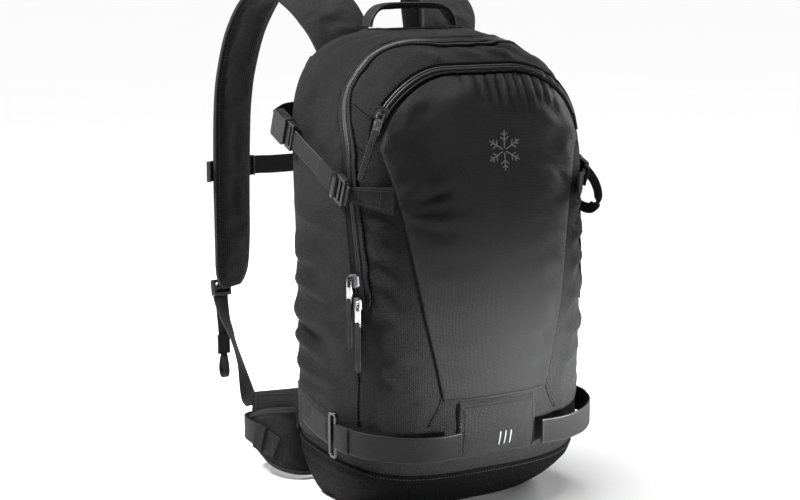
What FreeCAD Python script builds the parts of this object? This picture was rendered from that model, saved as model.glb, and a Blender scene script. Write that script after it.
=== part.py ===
"""Ski backpack of about 18 litres, as a parametric document of separate pieces.

Millimetres. +Z is up, the face away from the wearer looks along -Y, the wearer's back is at +Y.
The origin is the centre of the flat base that the pack stands on.
"""
import FreeCAD, Part
import Sketcher
import math
import os
from FreeCAD import Vector

DRIVING = {
    # bag
    "bag_height": 467, "half_width": 130.5, "side_belly": 4.5, "front_depth": 98, "front_belly": 12,
    "back_depth": 85, "base_gap": 2.6, "wall": 1.2, "base_rounding": 75, "foot_inset": 42,
    "roof_slope": 0.09,
    # zips
    "zip_lean": 0.14, "zip_setback": 98.5, "tape_width": 20, "coil_width": 6, "front_zip_radius": 85,
    "front_zip_flat": 33, "front_zip_rise": 433, "front_tape_width": 13,
    "slider_wide": 12, "slider_long": 13, "slider_thick": 2.2, "bail_wide": 2, "bail_tall": 3.6,
    "pull_wide": 7, "pull_long": 21, "pull_thick": 1.4, "eye_wide": 4.4, "eye_long": 4.6,
    "tab_wide": 7.5, "tab_long": 44, "tab_thick": 2, "slider_lift": 4.7,
    # back
    "foam_width": 206, "foam_low": 66, "foam_high": 428, "sheet_width": 160, "sheet_tall": 340,
    "sheet_thick": 1.5, "sheet_corner": 30,
    # webbing and straps
    "wide_webbing": 25, "narrow_webbing": 20, "webbing_thick": 1.6, "strap_width": 64,
    "strap_thick": 9,
    # hardware for the narrow webbing
    "lock_wide": 27, "lock_long": 18, "lock_thick": 5, "lock_rail": 3, "lock_bar": 3.4,
    "socket_wide": 28, "socket_long": 27, "socket_thick": 9.4, "throat_wide": 22.6,
    "throat_thick": 5.8, "throat_deep": 22,
    "plug_wide": 27, "plug_base": 13, "plug_thick": 5, "prong_long": 20, "prong_wide": 4,
    "guide_wide": 6,
    "band_wide": 72, "band_tall": 22, "band_thick": 1.6, "band_hook": 3,
    "ring_wide": 14, "ring_tall": 46, "ring_bar": 3.6,
}
SECTION_POINTS = 32
# the levels (mm) where the bag's outlines start to close towards the roof, and where they swell most
SIDE_CROWN, FRONT_CROWN, BACK_CROWN = 330, 380, 418
SIDE_BELLY_SPAN, FRONT_BELLY_SPAN = 400, 360
SIDE_LEVELS = (0, 6, 16, 30, 50, 75, 120, 180, 240, 300, 335, 360)
CROWN_STEPS = 9

doc = FreeCAD.newDocument("SkiBackpack")
sheet = doc.addObject("Spreadsheet::Sheet", "Dims")
for row, (alias, value) in enumerate(DRIVING.items(), start=1):
    sheet.set(f"A{row}", alias)
    sheet.set(f"B{row}", str(value))
    sheet.setAlias(f"B{row}", alias)
doc.recompute()

pieces = []


def dim(alias):
    return float(sheet.get(alias))


def keep(piece):
    pieces.append(piece)
    return piece


def feature(label, shape):
    """A sub-part whose shape comes from Part's own functions."""
    piece = doc.addObject("Part::Feature", label)
    piece.Label = label
    piece.Shape = shape
    piece.Placement = FreeCAD.Placement()
    return keep(piece)


def mirrored(shape):
    return shape.mirror(Vector(0, 0, 0), Vector(1, 0, 0))


def pair(label, shape):
    """The left piece, and its mirror image on the right."""
    feature(label + "_left", shape)
    feature(label + "_right", mirrored(shape))


# ---------------------------------------------------------------- the bag's outer surface

def smooth(low, high, value):
    share = min(1.0, max(0.0, (value - low) / (high - low)))
    return share * share * (3 - 2 * share)


def crown(level, start, power):
    """How far the bag has closed in towards its roof: 1 below start, 0 at the top."""
    share = min(1.0, max(0.0, (level - start) / (dim("bag_height") - start)))
    return (1 - share ** power) ** (1 / power)


def foot(level):
    """How far the bag tucks in towards its base: 1 at the floor, 0 above the rounding."""
    return max(0.0, 1 - level / dim("base_rounding")) ** 2.4


def half_width(level, along=-1.0):
    """along is -1 at the front and 1 at the back: the base tucks in less at the sides and back."""
    belly = dim("side_belly") * math.sin(math.pi * min(1.0, level / SIDE_BELLY_SPAN))
    inset = dim("foot_inset") * (1 - 0.66 * smooth(-0.85, 0.3, along))
    return (dim("half_width") + belly) * crown(level, SIDE_CROWN, 2.5) - inset * foot(level)


def front_reach(level):
    belly = dim("front_belly") * math.sin(math.pi * min(1.0, level / FRONT_BELLY_SPAN))
    reach = dim("front_depth") + belly - 8 * smooth(200, 420, level)
    return reach * crown(level, FRONT_CROWN, 2.4) - 1.07 * dim("foot_inset") * foot(level)


def back_reach(level):
    return dim("back_depth") * crown(level, BACK_CROWN, 2.9) - 0.38 * dim("foot_inset") * foot(level)


def squareness(level, behind):
    return 5.0 if behind else 3.2 + smooth(250, 400, level)


def height_at(y, level):
    """The roof falls towards the front, so a level rises to its own height at each depth."""
    return level + dim("roof_slope") * y * smooth(250, 470, level)


def bag_point(angle, level, grow=0.0):
    across, along = math.cos(angle), math.sin(angle)
    behind = along > 0
    power = 2 / squareness(level, behind)
    reach = (back_reach(level) if behind else front_reach(level)) + grow
    x = (half_width(level, along) + grow) * math.copysign(abs(across) ** power, across)
    y = reach * math.copysign(abs(along) ** power, along)
    lift = grow * (smooth(300, 467, level) - 1 + smooth(0, 60, level))
    return Vector(x, y, height_at(y, level) + lift + dim("base_gap") * (1 - smooth(0, 60, level)))


def bag_section(level, grow):
    points = [bag_point(2 * math.pi * i / SECTION_POINTS, level, grow) for i in range(SECTION_POINTS)]
    curve = Part.BSplineCurve()
    curve.interpolate(points, PeriodicFlag=True)
    return Part.Wire(curve.toShape())


def crown_levels():
    """Levels that close up towards the roof, as the surface turns over."""
    start, top = SIDE_LEVELS[-1], dim("bag_height")
    turns = [math.radians(80 * step / CROWN_STEPS) for step in range(1, CROWN_STEPS + 1)]
    return [start + (top - start) * math.sin(turn) for turn in turns]


grown_bags = {}


def grown_bag(grow):
    """The bag as one solid, grown outwards by so many millimetres."""
    if grow not in grown_bags:
        wires = [bag_section(level, grow) for level in list(SIDE_LEVELS) + crown_levels()]
        grown_bags[grow] = Part.makeLoft(wires, True, False)
    return grown_bags[grow]


def left_point(y, z):
    """The point on the left side of the bag at a given depth and height."""
    angle = math.radians(180)
    step = math.radians(0.25)
    level = z - dim("roof_slope") * y * smooth(250, 470, z)
    sign = 1 if y < 0 else -1
    while abs(bag_point(angle, level).y) < abs(y):
        angle += sign * step
    return bag_point(angle, level)


def prism_xz(wire_points, y_low, y_high):
    outline = Part.makePolygon([Vector(x, y_low, z) for x, z in wire_points + wire_points[:1]])
    return Part.Face(outline).extrude(Vector(0, y_high - y_low, 0))


def prism_yz(wire_points, x_low, x_high):
    outline = Part.makePolygon([Vector(x_low, y, z) for y, z in wire_points + wire_points[:1]])
    return Part.Face(outline).extrude(Vector(x_high - x_low, 0, 0))


def skin(inner, outer, region):
    """The layer of the bag between two growths, inside a region."""
    return grown_bag(outer).common(region).cut(grown_bag(inner))


def zip_depth(z):
    """The main zip lies in one plane, which leans back as it rises."""
    return dim("zip_lean") * z - dim("zip_setback")


def zip_region(ahead, behind, floor):
    low, high = floor, 520
    corners = [(zip_depth(low) - ahead, low), (zip_depth(low) + behind, low),
               (zip_depth(high) + behind, high), (zip_depth(high) - ahead, high)]
    return prism_yz(corners, -200, 200)


def build_bag_shells():
    hollow = grown_bag(0).cut(grown_bag(-dim("wall")))
    seam = 0.05
    feature("rear_bag_shell", hollow.common(zip_region(-seam, 300, -20)))
    feature("front_bag_shell", hollow.common(zip_region(300, -seam, -20)))


def build_base_boot():
    edge = [(-140, -5), (140, -5), (140, 66), (-55, 58), (-140, 44)]
    feature("base_boot", skin(0.3, 2.5, prism_yz(edge, -200, 200)))


def build_main_zip():
    half = dim("tape_width") / 2
    feature("main_zip_tape", skin(0.3, 1.3, zip_region(half, half, 96)))
    half = dim("coil_width") / 2
    feature("main_zip_coil", skin(1.35, 2.6, zip_region(half, half, 100)))


def arch(radius, low_turn, y_low, y_high):
    """A closed region under the front zip's line: two round corners and a flat top."""
    flat, hub = dim("front_zip_flat"), dim("front_zip_rise") - dim("front_zip_radius")
    turn = math.radians(low_turn)

    def corner(sign, angle):
        return Vector(sign * (flat + radius * math.sin(angle)), y_low, hub + radius * math.cos(angle))

    left = Part.Arc(corner(-1, turn), corner(-1, turn / 2), corner(-1, 0)).toShape()
    roof = Part.LineSegment(corner(-1, 0), corner(1, 0)).toShape()
    right = Part.Arc(corner(1, 0), corner(1, turn / 2), corner(1, turn)).toShape()
    sill = Part.LineSegment(corner(1, turn), corner(-1, turn)).toShape()
    outline = Part.Wire([left, roof, right, sill])
    return Part.Face(outline).extrude(Vector(0, y_high - y_low, 0))


def arch_band(half, low_turn):
    radius = dim("front_zip_radius")
    return arch(radius + half, low_turn, -200, -20).cut(arch(radius - half, low_turn + 8, -210, -10))


def build_front_pocket():
    half = dim("front_tape_width") / 2
    feature("front_zip_tape", skin(0.3, 1.3, arch_band(half, 76)))
    feature("front_zip_coil", skin(1.35, 2.6, arch_band(dim("coil_width") / 2, 74)))
    low = prism_xz([(-58, 123), (58, 123), (77, 205), (94, 303), (109, 362), (-109, 362), (-94, 303),
                    (-77, 205)], -200, -20)
    panel = low.fuse(arch(dim("front_zip_radius") - half - 0.4, 80, -200, -20))
    feature("front_pocket_panel", skin(0.3, 1.5, panel))
    stash = prism_xz([(-46, 64), (46, 64), (43, 122), (-43, 122)], -200, -20)
    feature("stash_pocket", skin(2.8, 8, stash).cut(grown_bag(2.8)))


def build_back():
    half = dim("foam_width") / 2
    low, high = dim("foam_low"), dim("foam_high")
    feature("back_panel_foam", skin(0.3, 9, prism_xz([(-half, low), (half, low), (half - 8, high),
                                                     (8 - half, high)], 40, 200)))
    half, low, high = half - 6, low + 6, high - 6
    feature("spacer_mesh", skin(9.2, 11, prism_xz([(-half, low), (half, low), (half - 8, high),
                                                  (8 - half, high)], 40, 200)))
    yoke = prism_xz([(-92, 434), (92, 434), (80, 500), (-80, 500)], 62, 200)
    feature("strap_yoke", skin(0.3, 2.2, yoke))


def build_side_wings():
    wing = prism_yz([(72, 62), (74, 116), (-26, 104), (-30, 68)], -200, -60)
    pair("side_wing", skin(2.6, 4.2, wing))


# ---------------------------------------------------------------- webbing

def ribbon(path, across, width, thick):
    """Flat webbing: a path laid into the plane across its width, made thick there, then widened."""
    path = [Vector(point) for point in path]
    run, across = path[-1] - path[0], Vector(across)
    across = (across - run * (across.dot(run) / run.dot(run))).normalize()
    path = [point - across * (point - path[0]).dot(across) for point in path]
    normals = []
    for here, there in zip(path, path[1:]):
        normals.append((there - here).normalize().cross(across))
    above, below = [], []
    for i, point in enumerate(path):
        before, after = normals[max(0, i - 1)], normals[min(i, len(normals) - 1)]
        mitre = (before + after).normalize()
        mitre.multiply(thick / 2 / mitre.dot(after))
        above.append(point + mitre - across * (width / 2))
        below.append(point - mitre - across * (width / 2))
    outline = Part.makePolygon(above + below[::-1] + above[:1])
    return Part.Face(outline).extrude(across * width)


def bar_loft(stations):
    """A strap of rectangular section through stations of centre, width direction, width, thickness
    and thickness direction."""
    wires = []
    for centre, side, width, thick, out in stations:
        centre, side, out = Vector(centre), Vector(side).normalize(), Vector(out)
        out = (out - side * out.dot(side)).normalize()
        half, deep = side * (width / 2), out * (thick / 2)
        corners = [centre - half - deep, centre + half - deep, centre + half + deep,
                   centre - half + deep]
        wires.append(Part.makePolygon(corners + corners[:1]))
    return Part.makeLoft(wires, True, True)


STRAP_LINE = (
    # centre, width direction, share of full width
    ((-58, 94, 458), (1, 0, 0.25), 0.98),
    ((-61, 108, 484), (1, 0.02, 0.27), 0.98),
    ((-69, 134, 505), (1, 0.1, 0.26), 0.98),
    ((-82, 165, 511), (1, 0.2, 0.22), 1),
    ((-98, 194, 497), (1, 0.3, 0.16), 1),
    ((-112, 212, 463), (1, 0.38, 0.1), 1),
    ((-121, 220, 420), (1, 0.43, 0.04), 1),
    ((-125, 222, 376), (1, 0.45, 0), 1),
    ((-125, 224, 232), (1, 0.45, 0), 0.94),
    ((-123, 226, 190), (1, 0.45, 0), 0.82),
    ((-118, 229, 166), (1, 0.45, 0), 0.5),
)
STRAIGHT_TOP, STRAIGHT_END = 7, 8
STRAIGHT_SIDE = (1, 0.45, 0)


def strap_stations():
    centres = [Vector(centre) for centre, side, share in STRAP_LINE]
    stations = []
    for i, (centre, side, share) in enumerate(STRAP_LINE):
        run = centres[min(i + 1, len(centres) - 1)] - centres[max(i - 1, 0)]
        out = run.cross(Vector(side))
        stations.append((centre, side, dim("strap_width") * share, dim("strap_thick"), out))
    return stations


def build_shoulder_straps():
    pair("shoulder_strap", bar_loft(strap_stations()))


ANCHOR_EYE = Vector(-141, 156, 72)
LOCK_CENTRE = Vector(-137, 238, 180)


def build_strap_webbing():
    """The adjuster webbing under each strap, with the loop that ends its tail."""
    thick, width = dim("webbing_thick"), dim("narrow_webbing")
    top = LOCK_CENTRE + Vector(0, 1.5, -12)
    main = ribbon([top, top + Vector(-3, -50, -42), ANCHOR_EYE + Vector(0, 2, 2)], (1, 0.05, 0),
                  width, thick)
    tail_top = top + Vector(1, 3.4, 0)
    knee = tail_top + Vector(0, -6, -66)
    loop = [tail_top, knee, knee + Vector(0, -7, -9), knee + Vector(0, -6, -22),
            knee + Vector(0, 0, -27), knee + Vector(0, 6, -22), knee + Vector(0, 7, -9),
            knee + Vector(0, 2.4, -1)]
    tail = ribbon(loop, (1, 0, 0), width * 0.6, thick)
    pair("strap_webbing", Part.makeCompound([main, tail]))


def build_lower_anchors():
    """The fabric triangle that ties the adjuster webbing to the bag's rear corner."""
    low, high = Vector(-118, 86, 58), Vector(-118, 86, 98)
    tip = ANCHOR_EYE + Vector(1, -8, 0)
    tip_low, tip_high = tip + Vector(0, 0, -10), tip + Vector(0, 0, 10)
    outline = Part.makePolygon([low, high, tip_high, tip_low, low])
    normal = (high - low).cross(tip_high - low).normalize()
    sheet_shape = Part.Face(outline).extrude(normal * 2.4)
    pair("lower_anchor", sheet_shape)


def build_grab_handle():
    path = [(-48, 60, 470), (-44, 60, 481), (-30, 60, 488), (30, 60, 488), (44, 60, 481),
            (48, 60, 470)]
    feature("grab_handle", ribbon(path, (0, 1, 0), dim("narrow_webbing"), 3))


# the compression strap's line on the left side: from the buckle at the back to the lock in front
COMPRESSION_AXIS = Vector(0.02, -0.93, -0.37).normalize()
COMPRESSION_START = Vector(-138.5, 84, 377)


def along_compression(distance):
    return COMPRESSION_START + COMPRESSION_AXIS * distance


def compression_across():
    return COMPRESSION_AXIS.cross(Vector(1, 0, 0)).normalize()


def build_compression_webbing():
    gap = dim("socket_long") + 1 + dim("plug_base") + 0.2
    web = ribbon([along_compression(gap), along_compression(158)], compression_across(),
                 dim("narrow_webbing"), dim("webbing_thick"))
    pair("compression_webbing", web)


def build_compression_tabs():
    """The tapered tabs that hold the ladder locks to the pocket's seam."""
    width = dim("narrow_webbing")
    start = along_compression(155) + Vector(4.6, 0, 0)
    end = Vector(-104, -91, 316)
    across = compression_across()
    corners = [start + across * width / 2, start - across * width / 2, end - Vector(0, 0, 15),
               end + Vector(0, 0, 12)]
    out = (corners[1] - corners[0]).cross(corners[2] - corners[0]).normalize()
    corners = [corner + out * 0.9 for corner in corners]
    thick = out * 2
    half = [Part.Face(Part.makePolygon([corners[0], corners[1], corners[2], corners[0]])).extrude(thick),
            Part.Face(Part.makePolygon([corners[0], corners[2], corners[3], corners[0]])).extrude(thick)]
    pair("compression_tab", half[0].fuse(half[1]).removeSplitter())
    anchor = ribbon([(-101, 91.5, 384), (-120, 91.5, 384), along_compression(-3.4)], (0, 0, 1),
                    dim("narrow_webbing"), dim("webbing_thick"))
    feature("compression_anchor_tapes", Part.makeCompound([anchor, mirrored(anchor)]))


def build_ski_straps():
    """The webbing bridges low on the front, which hold the ski tails."""
    path = [(-138.4, -44.5, 86), (-137, -64, 86), (-126, -88, 85), (-102, -110, 84),
            (-70, -119.5, 83), (-48, -118, 83)]
    pair("ski_strap", ribbon(path, (0, 0, 1), dim("wide_webbing"), dim("webbing_thick")))


HIP_PIVOT = (-124, 88)


def build_hip_belt():
    root = ((*HIP_PIVOT, 42), (0, 0, 1), 72, 5, (1, -0.3, 0))
    middle = ((-137, 112, 43), (0, 0, 1), 62, 6, (1, 0.3, 0))
    tip = ((-144, 146, 45), (0, 0, 1), 30, 4, (1, 0.2, 0))
    wing = bar_loft([root, middle, tip])
    pair("hip_wing", wing)
    wide, thick = dim("wide_webbing"), dim("webbing_thick")
    path = [(-146.2, 120, 45), (-149.5, 146, 45), (-146, 158, 45), (-132, 163, 45), (-38, 166, 45)]
    pair("hip_webbing", ribbon(path, (0, 0, 1), wide, thick))


# ---------------------------------------------------------------- hardware, as bodies

def origin_plane(body, role):
    return next(item for item in body.Origin.OriginFeatures if item.Role == role)


def new_sketch(body, name, role):
    sketch = body.newObject("Sketcher::SketchObject", name)
    sketch.AttachmentSupport = [(origin_plane(body, role), "")]
    sketch.MapMode = "FlatFace"
    return sketch


def rectangle(sketch, wide, tall, right="0", up="0"):
    """A rectangle whose size and centre are expressions in the sheet's cells."""
    first = sketch.GeometryCount
    corners = [Vector(-5, -5, 0), Vector(5, -5, 0), Vector(5, 5, 0), Vector(-5, 5, 0)]
    for here, there in zip(corners, corners[1:] + corners[:1]):
        sketch.addGeometry(Part.LineSegment(here, there), False)
    rules = [Sketcher.Constraint("Coincident", first + i, 2, first + (i + 1) % 4, 1) for i in range(4)]
    rules += [Sketcher.Constraint("Horizontal", first), Sketcher.Constraint("Horizontal", first + 2),
              Sketcher.Constraint("Vertical", first + 1), Sketcher.Constraint("Vertical", first + 3)]
    sketch.addConstraint(rules)
    sizes = (("DistanceX", (first, 1, first, 2), f"({wide})"),
             ("DistanceY", (first + 1, 1, first + 1, 2), f"({tall})"),
             ("DistanceX", (-1, 1, first, 2), f"({right}) + ({wide}) / 2"),
             ("DistanceY", (-1, 1, first + 1, 2), f"({up}) + ({tall}) / 2"))
    for kind, ends, expression in sizes:
        index = sketch.addConstraint(Sketcher.Constraint(kind, *ends, 5.0))
        sketch.setExpression(f"Constraints[{index}]", expression)


def new_body(label):
    body = doc.addObject("PartDesign::Body", label)
    body.Label = label
    return body


def pad(body, sketch, length, reverse=False):
    solid = body.newObject("PartDesign::Pad", sketch.Name + "Pad")
    solid.Profile = sketch
    solid.setExpression("Length", length)
    solid.Reversed = reverse
    sketch.Visibility = False
    return solid


def pocket(body, sketch, length, reverse):
    cut = body.newObject("PartDesign::Pocket", sketch.Name + "Pocket")
    cut.Profile = sketch
    cut.setExpression("Length", length)
    cut.Reversed = reverse
    sketch.Visibility = False
    return cut


def soften(body, base, radius, pick):
    """A fillet on the edges of a feature that pick() accepts."""
    doc.recompute()
    edges = [f"Edge{i + 1}" for i, edge in enumerate(base.Shape.Edges) if pick(edge)]
    rounding = body.newObject("PartDesign::Fillet", base.Name + "Fillet")
    rounding.Base = (base, edges)
    rounding.Radius = radius
    return rounding


def upright(edge):
    ends = [vertex.Point for vertex in edge.Vertexes]
    return len(ends) == 2 and abs(ends[0].x - ends[1].x) + abs(ends[0].y - ends[1].y) < 1e-6


def on_rim(span_x, span_y):
    def pick(edge):
        point = edge.Vertexes[0].Point
        return upright(edge) and abs(abs(point.x) - span_x / 2) < 1e-6 and abs(
            abs(point.y) - span_y / 2) < 1e-6
    return pick


def placed(body, origin, long_axis, out_axis):
    """Puts a body's own Y along long_axis and its own Z as near as possible to out_axis."""
    turn = FreeCAD.Rotation(Vector(0, 0, 0), Vector(long_axis), Vector(out_axis), "YZX")
    body.Placement = FreeCAD.Placement(Vector(origin), turn)
    return keep(body)


def build_frame_sheet():
    body = new_body("frame_sheet")
    outline = new_sketch(body, "SheetOutline", "XZ_Plane")
    rectangle(outline, "Dims.sheet_width", "Dims.sheet_tall")
    plate = pad(body, outline, "Dims.sheet_thick")
    half_wide, half_tall = dim("sheet_width") / 2, dim("sheet_tall") / 2
    soften(body, plate, dim("sheet_corner"),
           lambda edge: edge.Length < 3 and abs(abs(edge.Vertexes[0].Point.x) - half_wide) < 1e-6
           and abs(abs(edge.Vertexes[0].Point.z) - half_tall) < 1e-6)
    body.Placement = FreeCAD.Placement(Vector(0, 81.5, 245), FreeCAD.Rotation())
    keep(body)


def slider_body(label, origin, along, out, bail_shift):
    """A zip slider: a flat shell with an arched bail for its pull. Own Y runs along the zip."""
    body = new_body(label)
    shell = new_sketch(body, label + "Shell", "XY_Plane")
    rectangle(shell, "Dims.slider_wide", "Dims.slider_long")
    block = pad(body, shell, "Dims.slider_thick")
    soften(body, block, 2.5, on_rim(dim("slider_wide"), dim("slider_long")))
    bail = new_sketch(body, label + "Bail", "YZ_Plane")
    total = "Dims.slider_thick + Dims.bail_tall"
    rectangle(bail, "Dims.slider_long - 6", f"{total} - 0.2", "0", f"({total}) / 2 + 0.1")
    arch_pad = pad(body, bail, "Dims.bail_wide")
    eye = new_sketch(body, label + "Eye", "YZ_Plane")
    rectangle(eye, "Dims.slider_long - 9", "Dims.bail_tall - 1.2", "0",
              "Dims.slider_thick + (Dims.bail_tall - 1.2) / 2")
    hole = pocket(body, eye, "Dims.bail_wide", True)
    for part in (bail, eye):
        part.AttachmentOffset = FreeCAD.Placement(
            Vector(0, 0, bail_shift - dim("bail_wide") / 2), FreeCAD.Rotation())
    doc.recompute()
    if not hole.Shape.Volume < arch_pad.Shape.Volume - 1:
        raise RuntimeError(label + ": the bail's eye was not cut")
    placed(body, origin, along, out)


def pull_body(label, origin, along, out):
    """A metal pull that hangs from a bail. Its own origin is its top bar, its own -Y is down."""
    body = new_body(label)
    blade = new_sketch(body, label + "Blade", "XY_Plane")
    rectangle(blade, "Dims.pull_wide", "Dims.pull_long", "0",
              "Dims.pull_thick / 2 - Dims.pull_long / 2")
    rectangle(blade, "Dims.eye_wide", "Dims.eye_long", "0",
              "-Dims.pull_thick / 2 - Dims.eye_long / 2")
    rectangle(blade, "Dims.eye_wide", "2.6", "0", "Dims.pull_thick / 2 - Dims.pull_long + 3.1")
    pad(body, blade, "Dims.pull_thick")
    blade.AttachmentOffset = FreeCAD.Placement(Vector(0, 0, -dim("pull_thick") / 2),
                                               FreeCAD.Rotation())
    placed(body, origin, along, out)


def tab_body(label, origin, along, out):
    """The ribbed fabric tab on a pull. Its own origin is the pull's top bar."""
    body = new_body(label)
    strip = new_sketch(body, label + "Strip", "XY_Plane")
    rectangle(strip, "Dims.tab_wide", "Dims.tab_long", "0",
              "Dims.pull_thick / 2 - Dims.pull_long - 0.1 - Dims.tab_long / 2")
    pad(body, strip, "Dims.tab_thick")
    strip.AttachmentOffset = FreeCAD.Placement(Vector(0, 0, -dim("tab_thick") / 2),
                                               FreeCAD.Rotation())
    placed(body, origin, along, out)


def zip_runner(name, centre, along, out, bail_shift, pull_down):
    """A slider with its pull and tab. pull_down is the way the pull hangs."""
    along, out = Vector(along).normalize(), Vector(out).normalize()
    side = along.cross(out).normalize()
    slider_body(name + "_slider", centre, along, out, bail_shift)
    bar = centre + side * bail_shift + out * (dim("slider_thick") + dim("pull_thick") / 2 + 0.5)
    down = Vector(pull_down).normalize()
    bar = bar + down * 0.4
    pull_body(name + "_pull", bar, down * -1, out)
    tab_body(name + "_puller_tab", bar, down * -1, out)


def build_zip_runners():
    low, high = left_point(zip_depth(215), 215), left_point(zip_depth(330), 330)
    along = (high - low).normalize()
    out = Vector(-0.975, -0.22, 0.0)
    out = (out - along * out.dot(along)).normalize()
    rest = {"upper": 26.0, "lower": 4.0}
    shift = {"upper": -4.4, "lower": 4.4}
    for name in ("upper", "lower"):
        centre = low + along * rest[name] + out * dim("slider_lift")
        zip_runner(f"main_{name}", centre, along, out, shift[name], Vector(0, 0, -1))
    print("main zip slide axis", [round(v, 4) for v in along], "out", [round(v, 4) for v in out])
    turn = math.radians(58)
    hub = dim("front_zip_rise") - dim("front_zip_radius")
    radius = dim("front_zip_radius")
    x = -(dim("front_zip_flat") + radius * math.sin(turn))
    z = hub + radius * math.cos(turn)
    along = Vector(math.cos(turn), 0, math.sin(turn))
    seat = Vector(x, front_depth_at(x, z), z)
    out = front_normal(x, z)
    out = (out - along * out.dot(along)).normalize()
    hang = Vector(-0.12, 0, -0.99)
    hang = (hang - out * (0.7 * hang.dot(out))).normalize() - along
    zip_runner("front", seat + out * dim("slider_lift"), along, out, 0.0, hang)
    print("front zip slide axis", [round(v, 4) for v in along], "out", [round(v, 4) for v in out])


def front_depth_at(x, z):
    """How far forward the bag's surface stands at one spot of its front face."""
    best = None
    for level_step in range(0, 400):
        level = 60 + level_step * (dim("bag_height") - 61) / 400
        wide = half_width(level)
        if abs(x) >= wide:
            continue
        power = squareness(level, False)
        y = -front_reach(level) * (1 - (abs(x) / wide) ** power) ** (1 / power)
        miss = abs(height_at(y, level) - z)
        if best is None or miss < best[0]:
            best = (miss, y)
    return best[1]


def front_normal(x, z):
    step = 3.0
    here = Vector(x, front_depth_at(x, z), z)
    right = Vector(x + step, front_depth_at(x + step, z), z) - here
    down = Vector(x, front_depth_at(x, z - step), z - step) - here
    return right.cross(down * -1).normalize()


def ladder_lock(label, origin, along, out):
    """A lock that webbing runs straight through: two rails, two bars below and one above."""
    body = new_body(label)
    frame = new_sketch(body, label + "Frame", "XY_Plane")
    rectangle(frame, "Dims.lock_wide", "Dims.lock_long")
    rectangle(frame, "Dims.lock_wide - 2 * Dims.lock_rail", "Dims.lock_long / 2 - 1.5 * Dims.lock_bar",
              "0", "Dims.lock_long / 4 - Dims.lock_bar / 4")
    rectangle(frame, "Dims.lock_wide - 2 * Dims.lock_rail", "Dims.lock_long / 2 - 1.5 * Dims.lock_bar",
              "0", "-Dims.lock_long / 4 + Dims.lock_bar / 4")
    block = pad(body, frame, "Dims.lock_thick")
    rim = soften(body, block, 2.5, on_rim(dim("lock_wide"), dim("lock_long")))
    throat = new_sketch(body, label + "Throat", "XZ_Plane")
    rectangle(throat, "Dims.narrow_webbing + 0.8", "Dims.webbing_thick + 0.8", "0",
              "Dims.lock_thick / 2")
    cut = pocket(body, throat, "2 * Dims.lock_long", True)
    throat.AttachmentOffset = FreeCAD.Placement(Vector(0, 0, -dim("lock_long")), FreeCAD.Rotation())
    doc.recompute()
    if not cut.Shape.Volume < rim.Shape.Volume - 1:
        raise RuntimeError(label + ": the throat was not cut")
    out = Vector(out).normalize()
    placed(body, Vector(origin) - out * (dim("lock_thick") / 2), along, out)


def buckle_socket(label, origin, along, out):
    """The hollow half of a side-release buckle. It opens at its own +Y end."""
    body = new_body(label)
    outer = new_sketch(body, label + "Outer", "XY_Plane")
    rectangle(outer, "Dims.socket_wide", "Dims.socket_long", "0", "Dims.socket_long / 2")
    block = pad(body, outer, "Dims.socket_thick")
    rim = soften(body, block, 3, upright)
    throat = new_sketch(body, label + "Throat", "XZ_Plane")
    rectangle(throat, "Dims.throat_wide", "Dims.throat_thick", "0", "Dims.socket_thick / 2")
    throat.AttachmentOffset = FreeCAD.Placement(
        Vector(0, 0, dim("throat_deep") - dim("socket_long")), FreeCAD.Rotation())
    cut = pocket(body, throat, "Dims.throat_deep + 5", False)
    doc.recompute()
    if not cut.Shape.Volume < rim.Shape.Volume - 1:
        raise RuntimeError(label + ": the throat was not cut")
    out = Vector(out).normalize()
    placed(body, Vector(origin) - out * (dim("socket_thick") / 2), along, out)


def buckle_plug(label, origin, along, out):
    """The pronged half of a side-release buckle. Its base starts at its own origin, prongs at -Y."""
    body = new_body(label)
    base = new_sketch(body, label + "Base", "XY_Plane")
    rectangle(base, "Dims.plug_wide", "Dims.plug_base", "0", "Dims.plug_base / 2")
    rectangle(base, "Dims.narrow_webbing + 0.8", "3.2", "0", "Dims.plug_base - 4.4")
    pad(body, base, "Dims.plug_thick")
    prongs = new_sketch(body, label + "Prongs", "XY_Plane")
    half = "Dims.throat_wide / 2 - 0.5 - Dims.prong_wide / 2"
    for place, wide in ((f"-({half})", "Dims.prong_wide"), ("0", "Dims.guide_wide"),
                        (half, "Dims.prong_wide")):
        rectangle(prongs, wide, "Dims.prong_long + 0.5", place, "0.25 - Dims.prong_long / 2")
    pad(body, prongs, "Dims.plug_thick")
    out = Vector(out).normalize()
    placed(body, Vector(origin) - out * (dim("plug_thick") / 2), along, out)


def flip(vector):
    return Vector(-vector.x, vector.y, vector.z)


def build_compression_hardware():
    for side, turn in (("left", Vector), ("right", flip)):
        axis, out = turn(COMPRESSION_AXIS), turn(Vector(-1, 0, 0))
        buckle_socket(f"compression_buckle_socket_{side}", turn(along_compression(0)), axis, out)
        start = dim("socket_long") + 0.6
        buckle_plug(f"compression_buckle_plug_{side}", turn(along_compression(start)), axis, out)
        ladder_lock(f"compression_ladder_lock_{side}", turn(along_compression(143)), axis, out)


def build_strap_hardware():
    for side, turn in (("left", Vector), ("right", flip)):
        ladder_lock(f"strap_ladder_lock_{side}", turn(LOCK_CENTRE), turn(Vector(0.02, 0.2, 1)),
                    turn(Vector(-0.41, 0.91, 0)))


STERNUM_HEIGHT = 312
CHEST_GAP = 12


def sternum_centre():
    """Where the sternum band sits on the left strap's straight stretch."""
    upper, lower = Vector(STRAP_LINE[STRAIGHT_TOP][0]), Vector(STRAP_LINE[STRAIGHT_END][0])
    share = (upper.z - STERNUM_HEIGHT) / (upper.z - lower.z)
    return upper + (lower - upper) * share


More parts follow.
